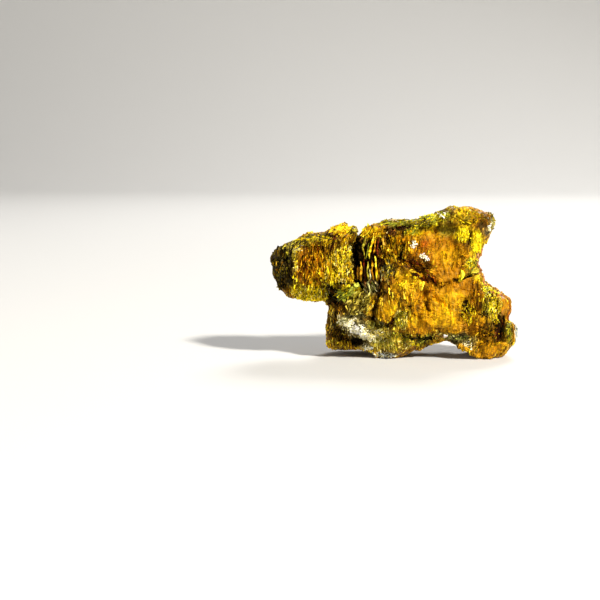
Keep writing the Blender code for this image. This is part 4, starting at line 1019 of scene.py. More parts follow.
def bladeField(name, left, right, front, seed):
    # width, length and rise = low + (high - low) * random ** power, for blades and stubs alike
    look = bladeLook
    rng = np.random.default_rng(seed)
    spots, ways, hollow = skinSpots(rng, left, right, front)
    count = len(spots)
    fibrous = fibrousShare(spots)
    stub = rng.random(count) > fibrous
    bundle = cellValues(spots, stoneForm["bundleSize"], seed=63)
    scatter = np.where(stub, look["stubScatter"], look["scatter"]) * rng.normal(size=count)
    angle = grainAngle(spots) + np.radians(scatter + look["bundleLean"] * bundle[:, 0])
    along, across = frameOf(ways, angle)

    def spread(blade, short, power):
        low, high = np.where(stub, short[0], blade[0]), np.where(stub, short[1], blade[1])
        return low + (high - low) * rng.random(count) ** power

    width = spread(look["width"], look["stubWidth"], look["slimness"])
    length = spread(look["length"], look["stubLength"], look["slimness"])
    rise = spread(look["rise"], look["stubRise"], look["flatness"])
    length *= eased(look["rimLength"], np.abs(ways[:, 1]))
    middleRise, riseWander = look["bundleRise"]
    rise *= (middleRise + riseWander * bundle[:, 1]) * eased(look["rimRise"], np.abs(ways[:, 1]))
    lean = rng.uniform(-look["lean"], look["lean"], count)
    slope = rng.choice([-1.0, 1.0], count, p=look["slopeShares"]) * rng.uniform(*look["slope"], count)
    corners = roofs(spots, ways, along, across, width, length, rise, lean, slope)
    patchy = look["toneWander"] * valueNoise(spots, look["toneSize"], seed=62)
    patchy += look["bundleTone"] * bundle[:, 2]
    patchy += look["toneScatter"] * rng.normal(size=count)
    tone = look["tone"] + patchy * eased(look["calmTone"], fibrous)
    # painted glints and painted shade: some blades are lifted, some lowered
    luck = rng.random(count)
    tone += np.where(luck < look["glintShare"] * fibrous, look["glintLift"], 0)
    tone -= np.where(luck > 1 - look["shadeShare"] * fibrous, look["darker"], 0)
    weights = groundWeights(spots, hollow)
    # painted light on each blade's ridge and painted shade at its foot
    ridgeTint = toneColours(weights, tone + look["ridge"] * fibrous)
    footTint = toneColours(weights, tone + look["foot"] * fibrous)
    gloss = rng.uniform(*look["gloss"], count)
    return roofMesh(name, corners, lean, footTint, ridgeTint, gloss, eased(look["grit"], fibrous))


for seed, (name, limits) in enumerate(bladeFields.items(), start=100):
    field = place(bladeField(name, *limits, seed), orpimentMaterial)
    print("stage:", name, len(field.data.polygons), "faces")


# upright ribs beside the cleft, like the leaves of a book
ribLook = {
    "front": -15.9, "deep": 5.4, "edge": 0.6, "edgeShare": 0.6, "deepShare": 1.2, "steps": 48, "apart": 7.0,
    "wobble": 0.4, "wobbleSize": 2.2, "ragged": 0.9, "raggedSize": 1.1, "bend": 2.2, "bendPower": 4,
    "wide": (0.75, 0.5), "taper": 0.75, "taperPower": 5,
    "toneWander": 0.4, "flankTone": (0.35, 0.3), "flankSize": 4.0, "rustOnFlank": 0.5, "edgeOnFlank": 0.35,
    "pocketShadeTone": 0.4, "gloss": (0.9, 0.9, 0.6, 0.2, 0.2, 0.6), "grit": 0.8,
    # each rib's foot X and Z, head X and Z, thickness, how far back it starts, its kind, its edge's tone
    "ribs": {
        "left of the cleft's foot": (-13.9, 31.0, -14.0, 37.0, 1.0, 0.9, "rust", 0.7),
        "brown plate": (-12.4, 30.8, -12.8, 38.8, 1.3, -0.1, "rust", 0.85),
        "pale sliver": (-11.9, 43.6, -10.6, 48.6, 1.1, -0.4, "olive", 0.85),
        "olive plate, left": (-11.1, 39.6, -12.1, 45.4, 0.7, 0.0, "olive", 0.85),
        "olive plate, right": (-10.9, 39.4, -9.8, 46.0, 0.8, 0.0, "green", 0.65),
        "dark plate": (-11.2, 30.0, -11.5, 39.6, 0.8, 0.9, "maroon", 0.5),
        "golden sliver": (-9.6, 39.6, -8.1, 48.8, 1.2, -0.3, "golden", 0.7),
        "olive plate": (-9.9, 30.8, -10.2, 38.6, 0.8, -0.2, "olive", 0.95),
        "pale line": (-8.9, 30.2, -9.3, 37.8, 0.6, -0.1, "cream", 0.3),
        "orange plate": (-7.9, 31.0, -8.4, 39.2, 1.0, -0.1, "orange", 0.8),
        "bright plate": (-6.4, 30.8, -7.2, 41.0, 1.0, -0.4, "golden", 0.8),
        "short orange plate": (-7.7, 41.6, -6.9, 47.0, 0.8, 0.2, "orange", 0.75),
        "maroon plate": (-6.4, 40.4, -5.7, 48.4, 0.9, 0.5, "maroon", 0.6),
        "last plate": (-5.5, 30.4, -5.9, 39.8, 0.7, 0.6, "rust", 0.5),
        "last pale line": (-4.7, 30.4, -5.0, 36.0, 0.5, 0.0, "cream", 0.25),
    },
}


def ribMesh(name):
    # with t from 0 at a rib's foot to 1 at its head, X and Z run along it with a wobble of noise, and
    # Y = front + how far back it starts + ragged noise + bend * |2t - 1|^bendPower; each section has six
    # corners, two at a thin bright edge, two just behind it on the flanks, painted darker with rust mixed in
    # as painted shade, and two deep in the pocket, painted dark red as the shade in the pocket
    look = ribLook
    listed = list(look["ribs"].values())
    numbers = np.array([rib[:6] + rib[7:] for rib in listed])
    footX, footZ, headX, headZ, thick, setBack, edgeTone = numbers.T[..., None]
    steps, count = look["steps"], len(listed)
    up = np.linspace(0, 1, steps)[None]
    x, z = footX + (headX - footX) * up, footZ + (headZ - footZ) * up
    spots = np.stack([x * 0, look["apart"] * np.arange(count)[:, None] + z * 0, z], axis=-1)
    ends = np.abs(2 * up - 1)
    x = x + look["wobble"] * valueNoise(spots, look["wobbleSize"], seed=72)
    y = look["front"] + setBack + look["ragged"] * valueNoise(spots, look["raggedSize"], seed=73)
    y = y + look["bend"] * ends ** look["bendPower"]
    middleWide, wideWander = look["wide"]
    wide = thick * (middleWide + wideWander * valueNoise(spots, look["raggedSize"], seed=74))
    wide = wide * (1 - look["taper"] * ends ** look["taperPower"])
    side = np.array([-1, 1, 1, 1, -1, -1]) / 2
    back = np.array([0, 0, look["edge"], look["deep"], look["deep"], look["edge"]])
    share = np.array([look["edgeShare"], look["edgeShare"], 1, look["deepShare"], look["deepShare"], 1])
    x = x[..., None] + wide[..., None] * side * share
    points = np.stack([x, y[..., None] + back, np.broadcast_to(z[..., None], x.shape)], axis=-1)
    tone = edgeTone + look["toneWander"] * valueNoise(spots, look["raggedSize"], seed=75)
    edge = np.stack([readTone(rib[6], tone[n]) for n, rib in enumerate(listed)])
    middleFlank, flankWander = look["flankTone"]
    rust = readTone("rust", middleFlank + flankWander * valueNoise(spots, look["flankSize"], seed=76))
    flank = look["rustOnFlank"] * rust.reshape(edge.shape) + look["edgeOnFlank"] * edge
    deep = np.broadcast_to(readTone("maroon", look["pocketShadeTone"])[0], edge.shape)
    tint = np.stack([edge, edge, flank, deep, deep, flank], axis=2)
    ring = len(side)
    foot = ring * steps * np.arange(count)[:, None]
    head = foot + ring * (steps - 1)
    walls = wallQuads((foot + ring * np.arange(steps - 1)).reshape(-1, 1), ring).reshape(-1, 4)
    feet, heads = [foot + [3, 2, 1, 0], foot + [5, 4, 3, 0]], [head + [0, 1, 2, 3], head + [0, 3, 4, 5]]
    quads = np.concatenate([walls, *feet, *heads])
    gloss = np.tile(look["gloss"], count * steps)
    grit = np.full(len(gloss), look["grit"])
    return makeMesh(name, points.reshape(-1, 3), quads, (), tint.reshape(-1, 3), gloss, grit)


ribs = place(ribMesh("ribs"), orpimentMaterial)
print("stage: ribs,", len(ribs.data.polygons), "faces")

# the front of the skin as a map on X and Z: each square holds the skin's point that stands furthest forward
frontPoints = skin[: rings // 2].reshape(-1, 3)
frontWays = skinWays[: rings // 2].reshape(-1, 3)
mapStep = 0.35
mapFill = 6  # how many squares away an empty one may look


def frontSquares(x, z):
    # the square of the map that each X and Z falls in, and the map's size
    size = ((highCorner - lowCorner) / mapStep).astype(int) + 1
    across = np.clip(((x - lowCorner[0]) / mapStep).astype(int), 0, size[0])
    up = np.clip(((z - lowCorner[2]) / mapStep).astype(int), 0, size[2])
    return across, up, (size[0] + 1, size[2] + 1)


def makeFrontMap():
    # points are put in from the back to the front, so the last one in a square is the furthest forward
    order = np.argsort(-frontPoints[:, 1])
    across, up, size = frontSquares(frontPoints[order, 0], frontPoints[order, 2])
    held = np.full(size, -1)
    held[across, up] = order
    for _ in range(mapFill):
        # an empty square takes what its neighbour holds
        for axis, step in ((0, 1), (1, 1), (0, -1), (1, -1)):
            held = np.where(held < 0, np.roll(held, step, axis), held)
    return np.maximum(held, 0)


frontMap = makeFrontMap()


def frontAt(x, z):
    across, up, _ = frontSquares(np.asarray(x), np.asarray(z))
    return frontMap[across, up]


def inEllipse(rng, placeX, placeZ, reachX, reachZ, count):
    # random places spread evenly over an ellipse, with a ragged edge
    ragged = (0.75, 1.1)
    turn = rng.uniform(0, 2 * math.pi, count)
    away = np.sqrt(rng.random(count)) * rng.uniform(*ragged, count)
    return placeX + reachX * away * np.cos(turn), placeZ + reachZ * away * np.sin(turn)


# sprays of blades with a colour of their own: the place X, Z, reach X, reach Z, how many, their lean and its
# spread in degrees, the ranges of width, length and rise, the kinds, the range of tones
sprayLook = {
    # painted shade: a splinter's foot is painted darker than its ridge
    "widen": 1.3, "lower": 0.75, "footShade": 0.45, "lean": 0.7, "slope": (0.3, 1.1),
    "gloss": (0.3, 1.0), "grit": 0.6,
}
sprays = {
    # light splinters: partly the ground's own light colours, partly painted highlights standing in for glints
    "glints": {
        "lobe by the cleft": (-19.6, 38, 4, 9, 240, 6, 12, (0.2, 0.5), (0.8, 2.6), (0.4, 0.9),
            "lemon straw golden", (0.7, 1)),
        "lobe": (-31.4, 37, 5.4, 8, 210, 6, 12, (0.2, 0.4), (0.8, 2.6), (0.4, 0.9),
            "amber golden orange amber", (0.65, 1)),
        "lobe, middle": (-24.6, 34.8, 3.6, 7, 110, 6, 12, (0.2, 0.45), (0.8, 2.6), (0.4, 0.9),
            "lemon golden straw", (0.55, 0.95)),
        "lobe's bright edge": (-37.9, 36, 0.8, 8.6, 34, 2, 8, (0.2, 0.5), (0.8, 2.2), (0.4, 0.9),
            "lemon straw golden", (0.6, 1)),
        "edge of the end face": (-37.8, 43, 1.4, 0.7, 12, 86, 10, (0.3, 0.6), (1, 2.4), (0.4, 0.9),
            "straw cream", (0.5, 0.9)),
        "end face": (-43.6, 35.4, 3.6, 8.6, 70, 12, 12, (0.14, 0.26), (1.2, 3.4), (0.4, 0.9),
            "khaki rust olive", (0.5, 0.95)),
        "lobe's foot": (-33, 26, 7.6, 2.8, 200, 0, 10, (0.2, 0.5), (1, 2.8), (0.4, 0.9),
            "lemon lemon straw", (0.55, 1)),
        "lobe's lowest rim": (-33, 23.2, 7.6, 0.8, 90, 84, 10, (0.3, 0.6), (1, 2.6), (0.2, 0.5),
            "lemon golden", (0.75, 1)),
        "lobe's top": (-30, 46.4, 9, 2, 120, 55, 24, (0.22, 0.45), (0.8, 2.2), (0.2, 0.6),
            "lemon olive golden", (0.45, 0.95)),
        "crown": (-20.6, 50.6, 4.4, 1.8, 70, 50, 26, (0.4, 0.9), (1, 2.6), (0.3, 0.8),
            "golden lemon", (0.6, 1)),
        "brow": (-8.4, 49.4, 4.2, 2.4, 90, 22, 22, (0.3, 0.8), (1, 2.6), (0.4, 0.9),
            "golden amber lemon", (0.5, 1)),
        "crest": (6, 53.4, 13, 1.2, 120, 74, 14, (0.25, 0.5), (1.4, 3.4), (0.2, 0.5),
            "lemon olive green khaki", (0.4, 0.95)),
        "yellow under the crest": (7.6, 50.4, 2.4, 1.4, 50, 40, 24, (0.3, 0.6), (0.8, 2.2), (0.2, 0.6),
            "lemon green", (0.5, 1)),
        "crest, right": (16.6, 56, 6.4, 1.8, 130, 60, 24, (0.25, 0.6), (0.8, 2.2), (0.3, 0.7),
            "lemon olive green", (0.5, 1)),
        "olive flat": (0.6, 43.8, 5.4, 5.4, 130, -4, 10, (0.2, 0.45), (1.2, 3.4), (0.4, 0.9),
            "golden amber golden olive", (0.45, 0.9)),
        "grey-green flat": (-1.8, 35.6, 3.2, 4, 60, 24, 24, (0.2, 0.5), (0.8, 2.2), (0.3, 0.7),
            "greyGreen olive golden", (0.5, 1)),
        "horn": (29, 55.8, 7, 2.8, 130, 104, 26, (0.25, 0.6), (1, 2.8), (0.1, 0.4),
            "lemon golden olive olive", (0.45, 0.85)),
        "lemon patch, left": (27.2, 49.2, 2.4, 2.7, 140, 12, 20, (0.3, 0.7), (0.8, 2), (0.2, 0.5),
            "lemon", (0.6, 1)),
        "lemon patch, right": (32.4, 46.4, 2.4, 4.4, 200, 12, 20, (0.3, 0.7), (0.8, 2.2), (0.2, 0.6),
            "lemon", (0.6, 1)),
        "horn's tip": (38.2, 54, 1.4, 3.4, 40, 14, 22, (0.25, 0.6), (0.8, 2.2), (0.3, 0.8),
            "greyGreen olive cream", (0.3, 0.95)),
        "right lobe": (39.2, 21.4, 3.4, 6.6, 200, 8, 16, (0.2, 0.5), (0.8, 2.4), (0.4, 0.9),
            "lemon lemon straw", (0.6, 1)),
        "by the pit": (29.4, 19, 3, 4.4, 90, 0, 20, (0.2, 0.5), (0.8, 2.4), (0.4, 0.9),
            "lemon lemon golden", (0.6, 1)),
        "brown columns": (31.8, 25, 2.4, 4.4, 60, 2, 6, (0.2, 0.4), (1.6, 3.8), (0.2, 0.6),
            "rust amber golden", (0.5, 0.95)),
        "leaf chip": (-18, 26.8, 4, 2.4, 90, 58, 10, (0.3, 0.7), (1.6, 4), (1.1, 1.9),
            "green lemon olive", (0.3, 1)),
        "low right": (36, 7.4, 8, 4.6, 100, 50, 24, (0.2, 0.45), (0.8, 2.2), (0.1, 0.4),
            "golden rust lemon olive", (0.4, 0.9)),
        "yellow strip": (45.8, 10.4, 0.8, 4.2, 44, 2, 12, (0.25, 0.5), (0.8, 2.2), (0.2, 0.5),
            "lemon green khaki", (0.4, 0.9)),
        "bay": (29.8, 36.4, 3.8, 2.8, 70, 50, 24, (0.2, 0.5), (0.8, 2.4), (0.2, 0.6),
            "olive golden green lemon", (0.4, 0.9)),
        "olive block": (-13.2, 22.8, 5.4, 4.4, 150, 34, 20, (0.25, 0.6), (0.8, 2.6), (0.4, 0.9),
            "khaki straw olive straw", (0.4, 0.9)),
        "left base": (-22.4, 10.6, 2.8, 6, 80, 4, 20, (0.22, 0.5), (0.8, 2.4), (0.3, 0.8),
            "rust olive khaki", (0.4, 1)),
        "low middle": (1.6, 7.2, 8, 3.8, 260, 8, 30, (0.2, 0.45), (0.7, 2), (0.2, 0.6),
            "straw green straw lemon", (0.5, 1)),
        "patch under the lobe": (3.2, 16.8, 3, 3.6, 200, 8, 20, (0.25, 0.55), (0.8, 2.4), (0.5, 1.1),
            "straw straw lemon green", (0.5, 0.95)),
        "middle": (20, 41, 8, 7, 90, 22, 26, (0.15, 0.35), (0.8, 2.6), (0.1, 0.4),
            "golden amber lemon", (0.6, 0.95)),
        "ridge by the seam": (5.6, 31.8, 5.4, 3.6, 60, 44, 28, (0.3, 0.8), (0.8, 2.4), (0.2, 0.5),
            "lemon golden", (0.6, 0.95)),
    },
    # dark splinters: partly the stone's own dark streaks, partly painted shade in the gaps between fibres and
    # in hollows
    "darkSplinters": {
        "lobe": (-29.6, 40.4, 6.4, 6, 110, 4, 10, (0.15, 0.4), (1, 3.2), (0.2, 0.5),
            "rust rust maroon", (0.2, 0.8)),
        "lobe by the cleft": (-20, 38, 4, 9, 120, 4, 10, (0.2, 0.4), (1, 3), (0.2, 0.5),
            "rust dark olive", (0.1, 0.5)),
        "end face": (-43.8, 35.4, 4, 9, 120, 8, 14, (0.3, 0.7), (1, 3.2), (0.2, 0.6),
            "dark khaki", (0.1, 0.5)),
        "lobe's foot": (-33, 26.4, 7.6, 2.6, 90, 2, 10, (0.15, 0.35), (1, 2.8), (0.2, 0.5),
            "dark rust olive", (0.1, 0.5)),
        "hollow": (-23.6, 26, 2.4, 3.6, 44, -40, 18, (0.3, 0.6), (2, 4.4), (0.8, 1.8),
            "rust khaki dark cream", (0.1, 0.7)),
        "olive flat": (0.6, 42.6, 5.6, 6.4, 110, -6, 8, (0.15, 0.35), (1.2, 3.4), (0.2, 0.5),
            "dark rust rust", (0.1, 0.6)),
        "crest's shadow": (4.2, 51.7, 2.6, 0.9, 70, 74, 18, (0.3, 0.7), (1, 2.6), (0.1, 0.4),
            "dark maroon", (0.1, 0.5)),
        "olive hollow": (20, 50.8, 4.2, 2.4, 40, 26, 24, (0.2, 0.4), (0.8, 2.4), (0.1, 0.4),
            "khaki olive green", (0.5, 1)),
        "right lobe": (39, 20, 3.6, 7, 120, 6, 14, (0.2, 0.5), (1, 2.8), (0.2, 0.6),
            "rust dark khaki", (0.1, 0.6)),
        "pit": (28.6, 20.4, 2, 3.4, 60, 0, 12, (0.25, 0.6), (1, 2.8), (0.2, 0.6),
            "dark khaki maroon", (0.1, 0.5)),
        "brown columns": (32.4, 24, 2.4, 4.4, 26, 2, 6, (0.15, 0.3), (1.6, 3.6), (0.2, 0.5),
            "rust maroon", (0.3, 0.7)),
        "low right": (35, 10.4, 8.6, 4.6, 110, 20, 24, (0.25, 0.6), (0.8, 2.6), (0.2, 0.5),
            "rust dark olive", (0.1, 0.6)),
        "left base": (-21.4, 9.4, 4, 6, 120, 10, 24, (0.25, 0.6), (0.8, 2.6), (0.2, 0.6),
            "dark khaki rust", (0.1, 0.6)),
        "dark hollows": (-14.6, 6.8, 5, 1.8, 80, 80, 30, (0.3, 0.7), (1, 2.4), (0.1, 0.4),
            "dark khaki", (0.1, 0.5)),
        "low middle": (4, 8.4, 9, 3, 56, 84, 24, (0.25, 0.6), (1, 2.6), (0.1, 0.4),
            "khaki rust olive", (0.3, 0.8)),
        "middle": (19, 42, 8, 7, 90, 24, 26, (0.12, 0.3), (1, 2.8), (0.1, 0.35),
            "redOrange rust rust", (0.25, 0.65)),
        "wide middle": (15, 23, 9, 8, 70, 14, 24, (0.12, 0.3), (0.8, 2.4), (0.1, 0.3),
            "redOrange rust", (0.3, 0.75)),
        "right of the middle": (27, 42, 3, 5, 40, 14, 14, (0.12, 0.3), (1, 2.8), (0.1, 0.35),
            "rust rust khaki", (0.3, 0.8)),
        "horn": (31, 55, 7, 3.2, 60, 60, 60, (0.15, 0.4), (0.6, 1.8), (0.1, 0.3),
            "rust ochre olive", (0.2, 0.6)),
        "between the lemon patches": (29.9, 48, 0.5, 2.8, 30, 4, 6, (0.25, 0.5), (1, 2.6), (0.2, 0.5),
            "khaki rust", (0.2, 0.7)),
        "bay crack, left": (26.7, 31.6, 1.3, 0.4, 14, 66, 6, (0.25, 0.5), (1.2, 2.4), (0.1, 0.3),
            "dark maroon", (0, 0.3)),
        "bay crack": (29.3, 32.7, 1.3, 0.4, 14, 66, 6, (0.25, 0.5), (1.2, 2.4), (0.1, 0.3),
            "dark maroon", (0, 0.3)),
        "bay crack, right": (31.9, 33.9, 1.3, 0.4, 14, 66, 6, (0.25, 0.5), (1.2, 2.4), (0.1, 0.3),
            "dark maroon", (0, 0.3)),
    },
    "slantingBlades": {
        "foot of the ribs": (-9, 28.6, 2.4, 2.4, 40, -28, 12, (0.25, 0.6), (1.8, 4), (0.4, 1.2),
            "greyGreen green cream khaki", (0.2, 1)),
        "bay's upper rim": (34.4, 39, 0.6, 4.6, 44, -16, 10, (0.3, 0.6), (1.4, 3.4), (0.1, 0.4),
            "terracotta orange", (0.4, 0.9)),
        "bay's rim": (36.8, 31, 0.9, 2.6, 60, -48, 12, (0.3, 0.6), (1.4, 3.2), (0.1, 0.4),
            "terracotta", (0.4, 1)),
        "bay's lower rim": (41.6, 26.2, 3.2, 0.8, 60, -58, 12, (0.3, 0.6), (1.2, 3), (0.1, 0.4),
            "terracotta", (0.4, 1)),
        "icy edge": (48.9, 8.8, 0.5, 4.6, 60, -2, 4, (0.2, 0.4), (2, 4.2), (0.1, 0.3),
            "iceBlue iceBlue cream", (0.6, 1)),
        "chalk, left": (-19.4, 15.2, 2.4, 1.2, 40, 118, 20, (0.3, 0.8), (0.8, 2.4), (0.2, 0.6),
            "cream greyGreen", (0.5, 1)),
        "chalk, middle": (-14.2, 11.8, 3.4, 1.8, 110, 122, 22, (0.3, 0.9), (0.8, 2.6), (0.2, 0.7),
            "cream cream white", (0.6, 1)),
        "chalk, right": (-9.6, 9, 3, 1.6, 70, 122, 22, (0.3, 0.9), (0.8, 2.6), (0.2, 0.6),
            "cream cream greyGreen", (0.55, 1)),
        "crumbs": (-3.4, 1.8, 5, 1, 50, 90, 40, (0.3, 0.7), (0.6, 1.8), (0.1, 0.4),
            "iceBlue cream olive", (0.4, 1)),
        "over the arch": (24.6, 8.8, 6, 1.5, 60, 84, 20, (0.3, 0.6), (1, 2.6), (0.1, 0.4),
            "greyGreen khaki green", (0.2, 0.8)),
    },
    "realgarCrystals": {
        "seam, upper": (7.6, 38, 3.6, 1.3, 30, 126, 20, (0.35, 0.9), (0.9, 2.4), (0.2, 0.7),
            "maroon redOrange", (0.3, 0.9)),
        "seam, lower": (14, 32.6, 3, 1.6, 40, 132, 24, (0.35, 0.9), (0.9, 2.4), (0.2, 0.7),
            "maroon redOrange rust", (0.3, 0.9)),
        "under the grains": (12.4, 38, 2.6, 0.9, 30, 118, 24, (0.35, 0.8), (0.8, 2), (0.1, 0.5),
            "maroon rust", (0.1, 0.6)),
        "red middle": (12.8, 44.8, 3, 1.6, 40, 70, 50, (0.3, 0.8), (0.6, 1.6), (0.05, 0.2),
            "redOrange orange", (0.3, 0.7)),
        "red facet": (-1.4, 49, 2, 2.3, 80, 6, 14, (0.4, 0.9), (1, 2.6), (0.1, 0.4),
            "maroon maroon rust", (0, 0.5)),
        "right seam": (42.8, 12.4, 0.9, 4.6, 34, 2, 12, (0.3, 0.8), (1, 2.8), (0.2, 0.6),
            "maroon rust", (0.1, 0.7)),
        "rib pocket": (-5, 38.6, 1.2, 7, 40, 2, 8, (0.3, 0.7), (1.2, 3.4), (0.3, 0.9),
            "maroon rust", (0.1, 0.8)),
        "lobe": (-30.6, 41.6, 4.4, 3.4, 50, 4, 12, (0.2, 0.5), (1, 2.6), (0.2, 0.6),
            "redOrange rust maroon", (0.2, 0.7)),
        "crack under the lobe": (-1.6, 14.4, 3.4, 0.7, 40, 70, 24, (0.25, 0.6), (0.8, 2), (0.1, 0.4),
            "maroon dark", (0.1, 0.8)),
    },
}


def sprayField(name, patches, seed):
    # every patch scatters its blades over an ellipse of the front; all of them are joined in one mesh
    look = sprayLook
    rng = np.random.default_rng(seed)
    parts = []
    for *patch, count, lean, spread, width, length, rise, kindsHere, tones in patches.values():
        near = frontAt(*inEllipse(rng, *patch, count))
        shares = drawnKinds(rng, kindsHere, count)
        tone = rng.uniform(*tones, count)
        parts.append((
            frontPoints[near],
            frontWays[near],
            np.radians(lean + spread * rng.normal(size=count)),
            look["widen"] * rng.uniform(*width, count),
            rng.uniform(*length, count),
            look["lower"] * rng.uniform(*rise, count),
            toneColours(shares, tone),
            toneColours(shares, tone - look["footShade"]),
        ))
    spots, ways, angle, width, length, rise, ridge, foot = (np.concatenate(values) for values in zip(*parts))
    count = len(spots)
    lean = rng.uniform(-look["lean"], look["lean"], count)
    slope = rng.choice([-1.0, 1.0], count) * rng.uniform(*look["slope"], count)
    corners = roofs(spots, ways, *frameOf(ways, angle), width, length, rise, lean, slope)
    gloss = rng.uniform(*look["gloss"], count)
    return roofMesh(name, corners, lean, foot, ridge, gloss, np.full(count, look["grit"]))


for seed, (name, patches) in enumerate(sprays.items(), start=300):
    red = name == "realgarCrystals"
    field = sprayField(name, patches, seed)
    place(field, realgarMaterial if red else orpimentMaterial)
    print("stage:", name, len(field.data.polygons), "faces")

# thin dark cracks, painted dark as the shade inside them: the path's X and Z, the kind of the splinters that
# lie along it and the tone they reach
crackLook = {
    "every": 0.35, "jitter": 0.10, "width": (0.3, 0.55), "length": (1.2, 2.2), "rise": (0.45, 0.85),
    "spread": 7.0, "lean": 0.5, "gloss": 0.2, "grit": 0.3,
    "cracks": {
        "dark slot": ([(4.3, 46.1), (3.5, 43.4), (3.1, 41.0)], "dark", 0.1),
        "dark slot, left": ([(3.7, 45.8), (3.1, 43.4), (2.7, 41.4)], "dark", 0.2),
        "dark slot, right": ([(4.8, 45.8), (4.0, 43.2), (3.6, 41.4)], "maroon", 0.3),
        "dark eye": ([(-2.7, 42.8), (-1.6, 41.6), (-0.6, 41.2)], "dark", 0.3),
        "seam, start": ([(2.4, 40.7), (3.9, 39.3), (5.9, 38.3), (7.8, 36.4), (10.1, 34.8)], "maroon", 0.3),
        "seam, middle": ([(7.4, 34.8), (10.1, 32.9), (13.2, 30.9)], "maroon", 0.6),
        "seam, under the grains": ([(7.6, 39.6), (10.9, 37.5), (14.0, 35.6)], "maroon", 0.6),
        "seam, right": ([(13.2, 34.0), (15.6, 31.7), (16.7, 29.7)], "maroon", 0.6),
        "short crack": ([(13.2, 23.9), (13.6, 20.7)], "rust", 0.7),
        "golden lobe's left rim": ([(-6.2, 16.4), (-4.2, 15.3), (-2.3, 13.3)], "dark", 0.3),
        "golden lobe's right rim": ([(-2.3, 13.3), (-1.1, 15.6), (1.6, 17.2)], "maroon", 0.3),
        "low crack": ([(3.5, 9.8), (7.4, 9.0), (12.1, 8.2), (15.6, 8.6)], "dark", 0.3),
        "bay crack": ([(24.1, 31.3), (26.5, 31.7), (29.6, 32.9), (32.7, 34.4)], "dark", 0.3),
        "lobe, left": ([(-35.3, 40.7), (-34.6, 37.5), (-34.9, 34.6)], "maroon", 0.6),
        "lobe, upper right": ([(-22.5, 49.0), (-23.7, 46.1), (-24.5, 42.0)], "maroon", 0.7),
        "over the leaf chip": ([(-23.3, 30.1), (-18.6, 30.7), (-14.7, 29.7)], "dark", 0.4),
        "by the pit": ([(28.0, 22.7), (28.8, 18.8)], "dark", 0.4),
        "right seam": ([(43.6, 16.8), (43.2, 13.3), (42.0, 9.0)], "dark", 0.3),
        "right seam, left": ([(41.2, 14.6), (40.5, 11.3), (41.2, 7.0)], "maroon", 0.4),
    },
}


def crackField(name, seed):
    # splinters along each path at even steps, each turned along its run
    look = crackLook
    rng = np.random.default_rng(seed)
    parts = []
    for path, kind, tone in look["cracks"].values():
        for (ax, az), (bx, bz) in zip(path, path[1:]):
            count = int(math.hypot(bx - ax, bz - az) / look["every"]) + 1
            along = (np.arange(count) + 0.5) / count
            x = ax + (bx - ax) * along + look["jitter"] * rng.normal(size=count)
            z = az + (bz - az) * along + look["jitter"] * rng.normal(size=count)
            near = frontAt(x, z)
            angle = math.atan2(bx - ax, bz - az) + np.radians(look["spread"] * rng.normal(size=count))
            tint = readTone(kind, tone * rng.random(count))
            parts.append((frontPoints[near], frontWays[near], angle, tint))
    spots, ways, angle, tint = (np.concatenate(values) for values in zip(*parts))
    count = len(spots)
    width, length, rise = (rng.uniform(*look[key], count) for key in ("width", "length", "rise"))
    lean = rng.uniform(-look["lean"], look["lean"], count)
    corners = roofs(spots, ways, *frameOf(ways, angle), width, length, rise, lean, np.zeros(count))
    gloss, grit = np.full(count, look["gloss"]), np.full(count, look["grit"])
    return roofMesh(name, corners, lean, tint, tint, gloss, grit)


cracks = place(crackField("cracks", seed=400), orpimentMaterial)
print("stage: cracks,", len(cracks.data.polygons), "faces")

# broken chips: the corners' X and Z, how thick, how far they stand out, the kind and the tone at each corner
chips = {
    "leafChip": ([(-22.1, 27.2), (-19.4, 29.1), (-16.3, 30.0), (-14.0, 28.6), (-16.3, 26.2), (-19.0, 24.3),
        (-21.3, 22.9), (-22.4, 24.8)], 3.4, 0.6, "green", (0.3, 0.5, 0.8, 0.9, 0.5, 0.4, 0.3, 0.2)),
    "chipsTip": ([(-16.2, 28.2), (-15.9, 30.2), (-13.6, 30.5), (-12.9, 29.2), (-14.2, 28.0)],
        2.6, 1.3, "green", (0.6, 0.9, 1.0, 0.9, 0.6)),
    "chipsUpperEdge": ([(-20.6, 27.6), (-19.2, 29.5), (-16.0, 30.3), (-16.4, 29.3), (-19.0, 27.8)],
        2.4, 1.2, "lemon", (0.3, 0.6, 0.9, 0.6, 0.4)),
    "lemonChip": ([(25.1, 32.4), (26.3, 35.9), (28.1, 33.7), (26.7, 31.0), (25.3, 30.8)],
        2.8, 1.0, "lemon", (0.5, 0.95, 0.8, 0.5, 0.3)),
    "shelfPlate": ([(27.9, 31.8), (27.7, 33.9), (33.7, 36.3), (33.7, 34.3)],
        3.0, 0.8, "olive", (0.4, 0.9, 1.0, 0.5)),
    "slantingChip": ([(-9.3, 26.5), (-10.4, 30.6), (-9.7, 31.0), (-8.3, 26.7)],
        3.0, 0.9, "greyGreen", (0.4, 0.7, 1.0, 0.6)),
    "slantingChip2": ([(-7.3, 26.1), (-8.5, 29.8), (-7.8, 30.4), (-6.3, 26.5)],
        3.0, 0.7, "green", (0.4, 0.7, 1.0, 0.5)),
    "crownChip": ([(-17.6, 49.0), (-16.8, 51.0), (-15.0, 51.6), (-13.9, 50.4), (-14.9, 49.2)],
        3.4, 0.8, "olive", (0.4, 0.6, 0.8, 0.6, 0.3)),
}
chipLook = {
    # layers from front to back: the share of the thickness, the share of the width and the change of tone,
    # which falls towards the back as painted shade; the peak in front is painted light and the point behind
    # dark
    "layers": ((0.0, 0.45, 0.1), (0.12, 0.8, 0.0), (0.45, 1.0, -0.3), (1.0, 0.9, -0.6)),
    "sides": 4, "jitter": 0.14, "toneJitter": 0.16, "peak": 0.3, "endTones": (0.8, 0.0),
    "gloss": 0.7, "grit": 0.8,
}


